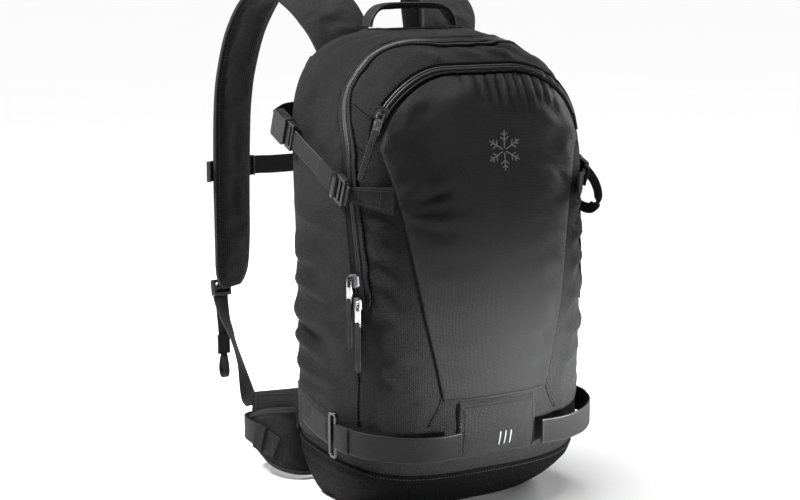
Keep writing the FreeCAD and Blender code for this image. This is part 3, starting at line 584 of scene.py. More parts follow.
def flat_section(width, thick, spans=10, turns=4):
    """The outline of flat webbing, with rounded edges."""
    half, radius = width / 2 - thick / 2, thick / 2
    top = [(a, radius) for a in np.linspace(-half, half, spans + 1)]
    right = [(half + radius * math.sin(t), radius * math.cos(t))
             for t in np.linspace(0, math.pi, turns + 1)[1:]]
    under = [(a, -radius) for a in np.linspace(half, -half, spans + 1)[1:]]
    left = [(-half - radius * math.sin(t), -radius * math.cos(t))
            for t in np.linspace(0, math.pi, turns + 1)[1:-1]]
    return top + right + under + left


def webbing(name, path, side, width, thick, material, step=2.0, flutter=0.0, twist=None):
    path = spaced(path, step)
    if twist is not None:
        share = np.sin(math.pi * np.linspace(0, 1, len(path)))[:, None] ** 1.2
        side = unit(np.asarray(side, float) * (1 - share) + np.asarray(twist, float) * share)
    if flutter:
        share = np.linspace(0, 1, len(path))[:, None]
        out = np.cross(unit(np.broadcast_to(side, path.shape)), run_of(path))
        path = path + out * flutter * np.sin(share * 5.1 + 0.6) * np.sin(math.pi * share)
    return sweep(name, path, side, flat_section(width, thick), material)


def sided(points, sign):
    """Points given for the left side, taken to the side asked for."""
    return np.asarray(points, float) * (sign, 1, 1)


# ---------------------------------------------------------------- stitches

stitches = {}
BORDER_STITCH = ("seam", 3.2, 2.3, 0.6, 0.1)     # kind, pitch, length, width, lift
TACK = (1.5, 0.6, 0.1)                           # length, width, lift


def stitch_row(body, path, normals, kind="seam", pitch=3.0, long=2.1, wide=0.55, lift=0.1):
    """Running stitches along a path that already lies on the cloth."""
    path = np.asarray(path, float)
    reach = lengths(path)
    marks = np.arange(pitch / 2, reach[-1], pitch)
    if not len(marks):
        return
    centres = np.stack([np.interp(marks, reach, path[:, i]) for i in range(3)], 1)
    ups = unit(np.stack([np.interp(marks, reach, np.asarray(normals)[:, i]) for i in range(3)], 1))
    runs = unit(np.stack([np.interp(marks, reach, run_of(path)[:, i]) for i in range(3)], 1))
    stitches.setdefault((body, kind), []).append((centres, runs, ups, long, wide, lift))


def sew(body, kind, material):
    """One mesh of every stitch that rides on a body."""
    turns = np.linspace(0, 2 * math.pi, 5, endpoint=False)
    rings = ((-0.5, 0.15, -0.35), (-0.34, 0.8, 0.1), (0.0, 1.0, 0.3), (0.34, 0.8, 0.1), (0.5, 0.15, -0.35))
    points, faces, cloth = [], [], []
    for centres, runs, ups, long, wide, lift in stitches[(body, kind)]:
        for centre, run, up in zip(centres, runs, ups):
            side = np.cross(up, run)
            start = len(points)
            for share, girth, rise in rings:
                for turn in turns:
                    points.append(centre + run * share * long + up * (lift + rise * wide)
                                  + (side * math.cos(turn) + up * math.sin(turn) * 0.8) * wide * girth / 2)
                    cloth.append((math.cos(turn) * wide, share * long))
            faces += ring_faces(len(rings), len(turns), start=start)
    piece = new_piece(f"{kind}_stitches_{body}", points, faces, material, cloth, sharp=80)
    return place(piece, body)


def bartack(body, centre, across, along, up, wide):
    """A dense bar of stitches across a webbing's end."""
    centre, across, along, up = (np.asarray(v, float) for v in (centre, across, along, up))
    across, along = unit(across), unit(along)
    for shift in (-1.1, 0.0, 1.1):
        line = np.stack([centre + along * shift - across * wide / 2,
                         centre + along * shift + across * wide / 2])
        stitch_row(body, line, np.broadcast_to(unit(up), line.shape), "seam", 1.3, *TACK)


# ---------------------------------------------------------------- the bag body

COLUMNS, SIDE_ROWS, CROWN_ROWS, FLOOR_RINGS = 168, 62, 22, 8
CROWN_START = 360.0


def fill_rear(ring, turns, level):
    """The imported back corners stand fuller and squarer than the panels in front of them."""
    behind = smooth(0.0, 0.55, np.sin(turns)) * smooth(180, 340, level)
    square = 9.0
    radius = (np.abs(np.cos(turns)) ** square + np.abs(np.sin(turns)) ** square) ** (-1 / square)
    share = np.clip((level - 362) / (BAG_HEIGHT - 362), 0, 1)
    wide = (BAG_HALF_WIDTH + 1.0) * (1 - share ** 2.7) ** (1 / 2.6) - 1.6
    deep = (BACK_DEPTH + 1.0) * (1 - np.clip((level - 430) / (BAG_HEIGHT - 430), 0,
                                             1) ** 2.6) ** (1 / 2.4) - 1.6
    fuller = ring.copy()
    fuller[:, 0] = wide * np.cos(turns) * radius
    fuller[:, 1] = np.where(np.sin(turns) > 0, deep * np.sin(turns) * radius, ring[:, 1])
    return ring + (fuller - ring) * behind[:, None] * (1 - smooth(452, 467, level))


def bag_grid():
    """The whole bag as rows of points from the floor to the roof, closed at both ends."""
    turns = np.linspace(0, 2 * math.pi, COLUMNS, endpoint=False)
    levels = list(np.linspace(0, CROWN_START, SIDE_ROWS))
    levels += [CROWN_START + (BAG_HEIGHT - CROWN_START) * math.sin(math.radians(88.5) * i / CROWN_ROWS)
               for i in range(1, CROWN_ROWS + 1)]
    rows = np.stack([fill_rear(bag_surface(turns, level, -1.6), turns, level) for level in levels])
    rows[:, :, 2] = np.maximum(rows[:, :, 2], BASE_GAP)
    centre = rows[0].mean(axis=0)
    floor = np.stack([centre + (rows[0] - centre) * share
                      for share in np.linspace(0.12, 1, FLOOR_RINGS, endpoint=False)])
    return np.concatenate([floor, rows])


def seam_distance(points):
    """How far each point is from the nearest seam that holds the cloth down."""
    x, y, z = points[:, 0], points[:, 1], points[:, 2]
    main = np.where(z > 92, np.abs(y - zip_depth(z) - zip_bow(x, z)), 60)
    hub = FRONT_ZIP_RISE - FRONT_ZIP_RADIUS
    corner = np.hypot(np.maximum(np.abs(x) - FRONT_ZIP_FLAT, 0), z - hub)
    arch = np.where((y < -20) & (z > hub), np.abs(corner - FRONT_ZIP_RADIUS), 60)
    edge = np.interp(z, (98, 122, 205, 303, 362), (70, 58, 77, 94, 109))
    pocket = np.where((y < -50) & (z < 362) & (z > 98), np.abs(np.abs(x) - edge), 60)
    hem = np.abs(z - boot_edge(y))
    return np.minimum.reduce([main, arch, pocket, hem])


def zip_bow(x, z):
    """The zip swings back round the bag's upper corners, out of its own plane."""
    corner = smooth(355, 415, z) * smooth(20, 85, np.abs(x))
    return 23 * corner - 5 * (1 - corner) * smooth(440, 455, z)


def boot_edge(y):
    return np.interp(y, (-140, -55, 140), (44, 58, 66))


FOLDS = (
    # both sides: points along the fold, width, height
    ("both", ((-134, 66, 296), (-136, 20, 288), (-132, -34, 281)), 8, 1.5),
    ("both", ((-134, 72, 262), (-136, 30, 250), (-134, -20, 247)), 9, 2.2),
    ("both", ((-134, 74, 232), (-136, 34, 224), (-133, -30, 213)), 8, 2.0),
    ("both", ((-133, 70, 204), (-136, 30, 190), (-134, -36, 190)), 9, 2.5),
    ("both", ((-133, 72, 172), (-135, 36, 166), (-132, -30, 152)), 8, 2.2),
    ("both", ((-132, 66, 146), (-134, 20, 136), (-131, -44, 132)), 7, 1.8),
    ("both", ((-132, 60, 122), (-134, 20, 118), (-130, -30, 114)), 6, 1.4),
    ("both", ((-126, 40, 428), (-110, 20, 446), (-84, 8, 458)), 9, 1.3),
    ("both", ((-124, -72, 300), (-112, -80, 292), (-100, -88, 290)), 5, 1.3),
    ("both", ((-122, -74, 276), (-110, -84, 262), (-97, -92, 262)), 6, 1.7),
    ("both", ((-122, -74, 246), (-108, -86, 238), (-92, -95, 228)), 6, 1.5),
    ("both", ((-122, -76, 214), (-106, -90, 206), (-88, -99, 200)), 7, 1.7),
    ("both", ((-121, -78, 182), (-104, -92, 170), (-84, -102, 168)), 6, 1.5),
    ("both", ((-119, -80, 152), (-100, -96, 142), (-78, -104, 138)), 6, 1.3),
    # the fan of creases that the tab pulls into the front panel
    ("left", ((-93, -92, 312), (-80, -97, 330), (-66, -98, 352)), 5, -2.2),
    ("left", ((-92, -92, 308), (-72, -99, 316), (-46, -104, 322)), 5, -2.6),
    ("left", ((-90, -93, 302), (-68, -101, 302), (-40, -106, 306)), 4.5, -2.0),
    ("left", ((-88, -95, 294), (-70, -102, 286), (-46, -107, 282)), 5, -1.5),
    ("left", ((-92, -92, 316), (-77, -97, 340), (-70, -96, 366)), 6, 1.4),
    ("left", ((-88, -94, 310), (-66, -101, 324), (-44, -103, 336)), 6, 1.5),
    ("left", ((-88, -94, 298), (-62, -103, 294), (-34, -107, 294)), 6, 1.3),
    ("right", ((-93, -92, 312), (-78, -97, 326), (-66, -98, 342)), 5, -1.5),
    ("right", ((-90, -93, 302), (-72, -100, 300), (-52, -105, 304)), 5, -1.4),
    # the roof between the zips
    ("one", ((-38, -46, 462), (-10, -58, 455), (12, -66, 447)), 6, 1.9),
    ("one", ((-6, -44, 464), (22, -56, 456), (48, -66, 446)), 6, 2.3),
    ("one", ((28, -44, 463), (54, -54, 454), (78, -62, 440)), 6, 1.9),
    ("one", ((-72, -44, 456), (-56, -56, 449), (-36, -66, 443)), 7, 1.4),
    ("one", ((66, -40, 457), (86, -46, 446), (104, -52, 428)), 6, 1.3),
    ("one", ((-20, -45, 463), (6, -57, 456), (30, -66, 447)), 5, -1.4),
    ("one", ((12, -44, 464), (40, -55, 455), (64, -64, 444)), 5, -1.5),
    ("one", ((-60, 20, 474), (-10, 8, 474), (40, 14, 474)), 10, 1.6),
    ("one", ((-40, 44, 474), (0, 36, 475), (56, 40, 473)), 9, 1.3),
)
GATHERS = (
    # x, length, height of the small pleats under the front zip
    (-30, 16, 0.8), (-16, 20, 1.0), (-3, 26, 1.4), (9, 34, 2.0), (19, 40, 2.3), (29, 30, 1.8), (38, 44, 2.4),
    (49, 36, 2.0), (59, 28, 1.7), (70, 34, 1.7), (81, 24, 1.3), (91, 18, 1.0),
)


def fold_height(points, line, width, height):
    """The rise of a soft fold over points near its line, fading out at the line's ends."""
    line = spaced(line, 4.0)
    best, share = np.full(len(points), 1e9), np.zeros(len(points))
    for index, (start, end) in enumerate(zip(line, line[1:])):
        along = np.clip(((points - start) @ (end - start)) / np.dot(end - start, end - start), 0, 1)
        away = np.linalg.norm(points - (start + along[:, None] * (end - start)), axis=1)
        near = away < best
        best[near], share[near] = away[near], ((index + along) / (len(line) - 1))[near]
    fade = np.sin(math.pi * np.clip(share, 0.02, 0.98)) ** 0.7
    return height * fade * (np.exp(-(best / width) ** 2) - 0.3 * np.exp(-(best / (2.2 * width)) ** 2))


WAVE_COUNT = 7


def waves(points, scale, seed):
    """A gentle, repeatable unevenness from a few crossed waves."""
    draw = np.random.default_rng(seed)
    total = np.zeros(len(points))
    for _ in range(WAVE_COUNT):
        direction = unit(draw.normal(size=3))
        length = scale * (0.55 + 0.9 * draw.random())
        total += np.sin(points @ direction * (2 * math.pi / length) + draw.random() * 6.28)
    return total / WAVE_COUNT


def settle(piece, seams, pressure, slack, cap, frames=20):
    """Lets a cloth piece swell between its seams, by at most cap millimetres, and keeps the result."""
    mesh = piece.data
    rest = np.zeros(len(mesh.vertices) * 3)
    mesh.vertices.foreach_get("co", rest)
    group = piece.vertex_groups.new(name="seams")
    steps = np.round(np.asarray(seams) * 10).astype(int)
    for step in np.unique(steps):
        if step > 0:
            group.add(np.nonzero(steps == step)[0].tolist(), step / 10, "REPLACE")
    cloth = piece.modifiers.new("Settle", "CLOTH")
    options = cloth.settings
    options.vertex_group_mass = "seams"
    options.quality = 4
    options.mass = 0.2
    options.tension_stiffness = options.compression_stiffness = 12
    options.shear_stiffness = 4
    options.bending_stiffness = 0.3
    options.shrink_min = -slack
    options.use_pressure = True
    options.uniform_pressure_force = pressure
    options.effector_weights.gravity = 0
    cloth.collision_settings.use_collision = False
    scene = bpy.context.scene
    scene.frame_start, scene.frame_end = 1, frames
    cloth.point_cache.frame_start, cloth.point_cache.frame_end = 1, frames
    for number in range(1, frames + 1):
        scene.frame_set(number)
    seen = piece.evaluated_get(bpy.context.evaluated_depsgraph_get()).to_mesh()
    swollen = np.zeros(len(rest))
    seen.vertices.foreach_get("co", swollen)
    move = (swollen - rest).reshape(-1, 3)
    size = np.linalg.norm(move, axis=1, keepdims=True)
    limit = cap * MM
    move *= limit * np.tanh(size / limit) / np.maximum(size, 1e-9)
    piece.modifiers.remove(cloth)
    piece.vertex_groups.remove(group)
    mesh.vertices.foreach_set("co", rest + move.ravel())
    mesh.update()
    scene.frame_set(1)


def apply_modifiers(piece):
    seen = piece.evaluated_get(bpy.context.evaluated_depsgraph_get())
    made = bpy.data.meshes.new_from_object(seen)
    old, piece.data = piece.data, made
    piece.modifiers.clear()
    bpy.data.meshes.remove(old)
    return piece


def subdivide(piece):
    layer = piece.modifiers.new("Subdivide", "SUBSURF")
    layer.levels = layer.render_levels = 1
    return apply_modifiers(piece)


def coordinates(mesh):
    flat = np.zeros(len(mesh.vertices) * 3)
    mesh.vertices.foreach_get("co", flat)
    return flat.reshape(-1, 3) / MM


def vertex_normals(mesh):
    flat = np.zeros(len(mesh.vertices) * 3)
    mesh.vertices.foreach_get("normal", flat)
    return flat.reshape(-1, 3)


FOLD_GAIN, PLEAT_GAIN, RIGHT_FOLD_SHIFT = 4.2, 0.8, 7


def build_body():
    """The bag's whole skin, swollen between its seams and folded, before it is cut into its parts."""
    rows = bag_grid()
    count = len(rows)
    points = rows.reshape(-1, 3)
    faces = grid_faces(count, COLUMNS, wrap=True)
    faces.append(tuple(range(COLUMNS))[::-1])
    faces.append(tuple(range((count - 1) * COLUMNS, count * COLUMNS)))
    girth = np.linspace(0, 800, COLUMNS, endpoint=False)
    rise = lengths(rows[:, COLUMNS // 2])
    cloth = cloth_grid(girth, rise[:, None])
    body = new_piece("body_cloth", points, faces, shell_cloth, cloth)
    away = seam_distance(points)
    held = 1 - smooth(4, 16, away)
    held = np.maximum(held, smooth(0.55, 0.8, points[:, 1] / BACK_DEPTH))
    held = np.maximum(held, 1 - smooth(30, 60, points[:, 2]))
    settle(body, held, 2.2, 0.02, 5.0)
    subdivide(body)
    points, normals = coordinates(body.data), vertex_normals(body.data)
    away = seam_distance(points)
    height = 1.2 * (1 - np.exp(-away / 14)) + 0.55 * waves(points, 95, 3) + 0.25 * waves(points, 38, 5)
    height = height * (1 - smooth(60, 80, points[:, 1]))
    for kind, line, width, rise_by in FOLDS:
        for sign in {"both": (1, -1), "left": (1,), "right": (-1,), "one": (1,)}[kind]:
            shifted = np.asarray(line, float) + (0, 0, 0 if sign > 0 else RIGHT_FOLD_SHIFT)
            height += FOLD_GAIN * fold_height(points, sided(shifted, sign), width, rise_by)
    pleats = np.zeros(len(points))
    top = FRONT_ZIP_RISE - 8
    for x, long, rise_by in GATHERS:
        sunk = np.exp(-((points[:, 0] - x) / 3.2) ** 2) - 0.8 * np.exp(-((points[:, 0] - x - 5) / 3.0) ** 2)
        drop = smooth(top - long, top - 0.45 * long,
                      points[:, 2]) * (1 - smooth(top + 1, top + 6, points[:, 2]))
        pleats += np.where(points[:, 1] < -30, rise_by * sunk * drop, 0)
    points += normals * (height + PLEAT_GAIN * pleats)[:, None]
    points[:, 2] = np.maximum(points[:, 2], 0.4)
    body.data.vertices.foreach_set("co", (points * MM).ravel())
    body.data.update()
    return body


body_cloth = build_body()


class Skin:
    """Finds the nearest point of the bag's cloth, with a normal that turns smoothly."""

    def __init__(self, mesh):
        self.points, self.normals = coordinates(mesh), vertex_normals(mesh)
        self.faces = [tuple(face.vertices) for face in mesh.polygons]
        self.tree = BVHTree.FromPolygons(self.points.tolist(), self.faces)

    def smooth_normal(self, spot, face):
        corners = list(self.faces[face])
        away = np.sum((self.points[corners] - spot) ** 2, axis=1) + 0.02
        return unit((self.normals[corners] / away[:, None]).sum(axis=0))

    def nearest(self, points):
        points = np.asarray(points, float)
        feet, ups = np.empty(points.reshape(-1, 3).shape), np.empty(points.reshape(-1, 3).shape)
        for index, point in enumerate(points.reshape(-1, 3)):
            spot, _, face, _ = self.tree.find_nearest(Vector(point))
            feet[index], ups[index] = spot, self.smooth_normal(np.array(spot), face)
        return feet.reshape(points.shape), ups.reshape(points.shape)

    def cast(self, start, direction):
        return np.array(self.tree.ray_cast(Vector(start), Vector(direction))[0])


skin = Skin(body_cloth.data)


def split_shells():
    """Cuts the body cloth along the main zip into the rear and front shells."""
    points, mesh = coordinates(body_cloth.data), body_cloth.data
    weave = np.zeros(len(points) * 3, np.float32)
    mesh.attributes["cloth"].data.foreach_get("vector", weave)
    weave = weave.reshape(-1, 3)
    behind = points[:, 1] > zip_depth(points[:, 2]) + zip_bow(points[:, 0], points[:, 2])
    for name in ("rear_shell", "front_shell"):
        chosen = [face for face in skin.faces if (behind[list(face)].mean() > 0.5) == (name == "rear_shell")]
        used = sorted({v for face in chosen for v in face})
        number = {v: i for i, v in enumerate(used)}
        faces = [tuple(number[v] for v in face) for face in chosen]
        outer = points[used]
        inner = outer - skin.normals[used] * 1.2
        count = len(used)
        edges = {}
        for face in faces:
            for a, b in zip(face, face[1:] + face[:1]):
                edges[(a, b)] = True
        rim = [(b, a, a + count, b + count) for a, b in edges if (b, a) not in edges]
        faces = faces + [tuple(v + count for v in face[::-1]) for face in faces] + rim
        cloth = np.vstack([weave[used], weave[used]])
        shell = new_piece(name, np.vstack([outer, inner]), faces, shell_cloth, cloth, sharp=70)
        place(shell, "pack", name.replace("shell", "bag_shell"), slot="shell_fabric")
    bpy.data.objects.remove(body_cloth)


EDGE_SINK = 0.35


def sheet_on_bag(name, rough_points, material, thick, tuck, puff=0.0, lift=0.0):
    """A sewn panel over a grid of rough points: it follows the bag, and its edges tuck in."""
    feet, ups = skin.nearest(rough_points)
    rows, columns = feet.shape[:2]
    down = np.cumsum(np.linalg.norm(np.diff(feet, axis=0, prepend=feet[:1]), axis=2), axis=0)
    over = np.cumsum(np.linalg.norm(np.diff(feet, axis=1, prepend=feet[:, :1]), axis=2), axis=1)
    edge = np.minimum.reduce([down, down[-1:] - down, over, over[:, -1:] - over])
    rise = thick * np.sqrt(np.clip(1 - (1 - np.clip(edge / tuck, 0, 1)) ** 2, 0, 1))
    rise += puff * smooth(0, 26, edge) + lift
    sunk = EDGE_SINK * (1 - smooth(0, tuck, edge))
    top = feet + ups * (rise - sunk)[..., None]
    under = feet - ups * (0.4 + sunk)[..., None]
    middle = over - over[:, columns // 2:columns // 2 + 1]
    cloth = cloth_grid(middle, down)
    piece = new_piece(name, both_faces(top, under), two_sided_faces(rows, columns), material,
                      np.vstack([cloth, cloth]), sharp=70)
    return piece, top, ups


def strip_on_bag(name, path, profile, material, fade=None, step_along=None):
    """A narrow strip along a path on the bag. profile is (across, height); fade narrows its ends."""
    path, ups = skin.nearest(path)
    side = unit(np.cross(ups, run_of(path)))
    profile = np.asarray(profile, float)
    scale = np.ones(len(path)) if fade is None else fade
    rough = path[:, None] + side[:, None] * (profile[None, :, :1] * scale[:, None, None])
    feet, normals = skin.nearest(rough)
    reach = lengths(path)
    rise = np.broadcast_to(profile[:, 1], feet.shape[:2])
    if step_along is not None:
        rise = rise + step_along(reach[:, None], profile[None, :, 0])
    top = feet + normals * rise[..., None]
    under = feet[:, ::-1] - normals[:, ::-1] * 0.5
    points = np.concatenate([top, under], axis=1)
    rows, columns = points.shape[:2]
    lane = np.concatenate([profile[:, 0], profile[::-1, 0]])
    cloth = cloth_grid(lane, reach[:, None])
    return new_piece(name, points.reshape(-1, 3), ring_faces(rows, columns, flip=True), material, cloth,
                     sharp=60)


def offset_on_bag(path, across, lift=0.0):
    """A path moved sideways over the bag, with the bag's normals there."""
    path, ups = skin.nearest(path)
    side = unit(np.cross(ups, run_of(path)))
    feet, normals = skin.nearest(path + side * across)
    return feet + normals * lift, normals


# ---------------------------------------------------------------- the bag's zips, panels and seams

def main_zip_path():
    """The zip's line from low on the left side, over the roof, to low on the right."""
    start = np.array((0.0, zip_depth(250), 250.0))
    up = unit((0, ZIP_LEAN, 1))
    line = []
    for turn in np.radians(np.linspace(-140, 140, 520)):
        spot = skin.cast(start, up * math.cos(turn) + np.array((math.sin(turn), 0, 0)))
        spot[1] += float(zip_bow(spot[0], spot[2]))
        line.append(spot)
    feet, _ = skin.nearest(np.array(line))
    return spaced(feet[feet[:, 2] > 100][::6], 1.5)


ZIP_FOOT, ZIP_END = 198.0, 12    # where the main zip ends, and the stations of bare tape at an end


def welt(inner, outer, height):
    """One side of a zip's tape: flat by the coil, rolled at its outer edge."""
    return [(inner, 0.5), (inner + 0.4, 0.9), (outer - 2.4, 0.95), (outer - 1.9, height * 0.75),
            (outer - 1.1, height), (outer - 0.5, height * 0.75), (outer, -0.3)]


def coil_ribs(reach, lane):
    """The turns of a coil: ridges that lean one way on each half and meet along the middle."""
    half = np.abs(lane)
    ridge = 0.28 * np.cos((reach * 2 * math.pi / 1.5) + half * 0.9)
    return np.where(half < 2.7, ridge, 0.0)


COIL_PROFILE = [(-3.0, 0.2), (-2.6, 1.2), (-2.0, 1.75), (-1.2, 2.0), (-0.45, 1.75), (0, 1.15), (0.45, 1.75),
                (1.2, 2.0), (2.0, 1.75), (2.6, 1.2), (3.0, 0.2)]


def build_zip(name, path, half, height):
    """Tape, coil and the two rows of stitches of one zip."""
    tape_profile = [(-a, h) for a, h in reversed(welt(1.0, half, height))] + welt(1.0, half, height)
    near_end = np.minimum(lengths(path), lengths(path)[-1] - lengths(path))
    fade = 0.12 + 0.88 * smooth(0, 22, near_end)
    tape = strip_on_bag(f"{name}_tape_cloth", path, tape_profile, tape_cloth, fade)
    place(tape, "pack", f"{name}_tape", slot="zip_tape")
    inner = spaced(path[ZIP_END:-ZIP_END], 0.5)
    coil = strip_on_bag(f"{name}_coil_turns", inner, COIL_PROFILE, coil_nylon, None, coil_ribs)
    place(coil, "pack", f"{name}_coil", slot="zip_coil")
    for side in (-1, 1):
        for across, long in ((half + 0.3, 2.3), (3.6, 3.0)):
            line, ups = offset_on_bag(path[ZIP_END:-ZIP_END], side * across, 0.5 if across > 4 else 0.9)
            stitch_row("pack", line, ups, "dark", 3.6, long, 1.15 if across > 4 else 0.5, 0.0)


def seam_line(name, points, lip, wide, rows):
    """A sewn seam: a narrow rolled lip, with topstitching beside it."""
    path = spaced(points, 2.0)
    profile = [(-wide / 2, -0.4), (-wide / 3, lip * 0.7), (0, lip), (wide / 3, lip * 0.7), (wide / 2, -0.4)]
    near_end = np.minimum(lengths(path), lengths(path)[-1] - lengths(path))
    piece = strip_on_bag(name, path, profile, shell_cloth, 0.2 + 0.8 * smooth(0, 6, near_end))
    place(piece, "pack", slot="shell_fabric")
    for across in rows:
        line, ups = offset_on_bag(path, across)
        stitch_row("pack", line, ups, "dark", 3.4, 2.5, 1.0, 0.0)


def arch_path(low_turn, radius):
    """The front zip's line: two round corners and a flat top, from left to right."""
    hub = FRONT_ZIP_RISE - FRONT_ZIP_RADIUS
    turns = np.radians(np.linspace(-low_turn, 0, 40))
    left = [(-FRONT_ZIP_FLAT + radius * math.sin(t), hub + radius * math.cos(t)) for t in turns]
    flat = [(x, FRONT_ZIP_RISE) for x in np.linspace(-FRONT_ZIP_FLAT, FRONT_ZIP_FLAT, 18)[1:-1]]
    line = left + flat + [(-x, z) for x, z in reversed(left)]
    return spaced(on_front(line), 1.5)


def on_front(places):
    """The bag's front surface at places across and up."""
    return np.array([skin.cast((x, -10.0, z), (0, -1, 0)) for x, z in places])


# how far the pocket panel stays inside the front zip, and where its sides turn into the arch
POCKET_INSET, POCKET_BEND = 6.9, 362.0


def pocket_half_width(z):
    """How far the pocket panel reaches to each side, at each height."""
    low = np.interp(z, (123, 205, 303, 362), (58, 77, 94, 109))
    hub, radius = FRONT_ZIP_RISE - FRONT_ZIP_RADIUS, FRONT_ZIP_RADIUS - POCKET_INSET
    arch = FRONT_ZIP_FLAT + np.sqrt(np.maximum(radius ** 2 - (z - hub) ** 2, 0))
    return np.where(z < hub, low, np.where(z < POCKET_BEND, np.minimum(low, arch), arch))


def build_front_pocket():
    top = FRONT_ZIP_RISE - POCKET_INSET
    heights = list(np.linspace(123, POCKET_BEND, 96, endpoint=False))
    heights += [POCKET_BEND + (top - POCKET_BEND) * math.sin(t) for t in np.linspace(0, math.pi / 2, 40)]
    lanes = np.linspace(-1, 1, 97)
    grid = np.array([on_front([(lane * float(pocket_half_width(z)), z) for lane in lanes]) for z in heights])
    panel, surface, _ = sheet_on_bag("pocket_panel", grid, panel_cloth, 1.9, 2.2)
    place(panel, "pack", "front_pocket_panel", slot="panel_fabric")
    for column, across in ((0, 1), (-1, -1)):
        border = surface[:92, column]
        line, normals = offset_on_bag(border, across * -0.2, 0.9)
        stitch_row("pack", line, normals, "dark")
    line, normals = skin.nearest(on_front([(x, 126.4) for x in np.linspace(-55, 55, 60)]))
    stitch_row("pack", line + normals * 1.95, normals, "dark", 3.0, 2.1, 0.6, 0.1)
    build_zip("front_zip", arch_path(76, FRONT_ZIP_RADIUS), 6.5, 2.4)


def build_stash_pocket():
    """The low pocket, which stands proud so that ski tails pass behind the webbing beside it."""
    heights = np.linspace(64, 122, 40)
    half = np.interp(heights, (64, 122), (46, 43))
    lanes = np.linspace(-1, 1, 61)
    grid = np.array([on_front([(lane * w, z) for lane in lanes]) for z, w in zip(heights, half)])
    pocket, surface, ups = sheet_on_bag("low_pocket", grid, panel_cloth, 5.2, 15.0, puff=1.8, lift=0.3)
    place(pocket, "pack", "stash_pocket", slot="panel_fabric")
    for column in (4, -5):
        stitch_row("pack", surface[2:-2, column], ups[2:-2, column], "dark")
    stitch_row("pack", surface[-4, 3:-3], ups[-4, 3:-3], "dark")


BOOT_ROWS, BOOT_RINGS, HEM_DROP = 44, 14, 1.5


def build_boot():
    """The coated base: it wraps the lower bag, with a hem that stands a little proud."""
    turns = np.linspace(0, 2 * math.pi, 360, endpoint=False)
    shares = np.linspace(0, 1, BOOT_ROWS)
    rim = bag_surface(turns, 52.0)
    edge_heights = boot_edge(rim[:, 1])
    rough = [bag_surface(turns, np.maximum(edge_heights * share - HEM_DROP, 0)) for share in shares]
    feet, ups = skin.nearest(rough)
    below = edge_heights[None] * (1 - shares[:, None])
    rise = 2.3 * np.sqrt(np.clip(1 - (1 - np.clip(below / 2.2, 0, 1)) ** 2, 0, 1)) - 0.2
    outer = feet + ups * rise[..., None]
    outer[..., 2] = np.maximum(outer[..., 2], 0.15)
    centre = outer[0].mean(axis=0)
    centre[2] = 0.6
    floor = np.stack([centre + (outer[0] - centre) * share
                      for share in np.linspace(0.05, 1, BOOT_RINGS, endpoint=False)])
    outer = np.concatenate([floor, outer])
    inner = outer.copy()
    inner[BOOT_RINGS:] = feet - ups * 0.5
    inner[:BOOT_RINGS, :, 2] += 1.6
    rows, columns = outer.shape[:2]
    count = rows * columns
    faces = grid_faces(rows, columns, wrap=True)
    faces += grid_faces(rows, columns, wrap=True, flip=True, start=count)
    top = (rows - 1) * columns
    faces += [(top + i, top + (i + 1) % columns, top + count + (i + 1) % columns, top + count + i)
              for i in range(columns)]
    faces += [tuple(range(columns))[::-1], tuple(range(count, count + columns))]
    girth = np.linspace(0, 780, columns, endpoint=False)
    down = lengths(outer[:, columns // 2])
    cloth = cloth_grid(girth, down[:, None])
    boot = new_piece("base_boot_cloth", both_faces(outer, inner), faces, boot_cloth_with_painted_shade,
                     np.vstack([cloth, cloth]),
                     sharp=60)
    place(boot, "pack", "base_boot", slot="boot_fabric")
    line, normals = skin.nearest(bag_surface(turns, edge_heights - HEM_DROP - 3.4))
    stitch_row("pack", line + normals * 2.1, normals, *BORDER_STITCH)


def build_side_wings():
    """The low side panels that carry the ski rings, sewn round three edges."""
    for side, sign in SIDES:
        depths = np.linspace(72, -29, 56)
        grid = []
        for share in np.linspace(0, 1, 24):
            row = []
            for y in depths:
                low = np.interp(y, (-30, 72), (68, 62))
                high = np.interp(y, (-26, 74), (104, 116))
                row.append((-150.0 * sign, y, low + (high - low) * share))
            grid.append(row)
        grid = np.array(grid)
        if sign < 0:
            grid = grid[:, ::-1]
        wing, surface, ups = sheet_on_bag(f"side_wing_cloth_{side}", grid, wing_cloth, 1.7, 2.0, lift=0.3)
        place(wing, "pack", f"side_wing_{side}", slot="wing_fabric")
        column = -4 if sign > 0 else 3
        for row in (3, -4):
            stitch_row("pack", surface[row, 2:-2], ups[row, 2:-2])
        stitch_row("pack", surface[3:-3, column], ups[3:-3, column], "seam", 1.7, *TACK)


BODY_SEAMS = (
    # name, line on the left side, height and width of the lip, rows of stitches beside it
    ("side_seam", ((-128, -67, 196), (-128, -64, 160), (-127, -62, 120), (-125, -62, 98)),
     1.4, 3.0, (1.7, -1.7)),
    ("shoulder_seam", ((-120, -38, 402), (-118, -52, 396), (-114, -66, 390)), 0.9, 2.2, (1.5,)),
    ("flank_seam", ((-125, -56, 364), (-122, -62, 360), (-118, -70, 356)), 0.9, 2.2, (1.5,)),
    ("low_panel_seam", ((-58, -106, 134), (-62, -104, 118), (-72, -101, 100)), 1.1, 2.4, (1.5,)),
    ("rear_corner_seam", ((-118, 80, 120), (-122, 82, 200), (-122, 82, 300), (-116, 80, 400), (-104, 74, 440)),
     1.3, 2.8, (3.0,)),
)


def build_body_seams():
    for side, sign in SIDES:
        for name, line, lip, wide, rows in BODY_SEAMS:
            seam_line(f"{name}_{side}", sided(line, sign), lip, wide, rows)


split_shells()
zip_line = main_zip_path()
zip_line = zip_line[(zip_line[:, 2] > ZIP_FOOT)]
build_zip("main_zip", zip_line, 10.0, 2.3)
build_front_pocket()
build_stash_pocket()
build_boot()
build_side_wings()
build_body_seams()


# ---------------------------------------------------------------- the back panel

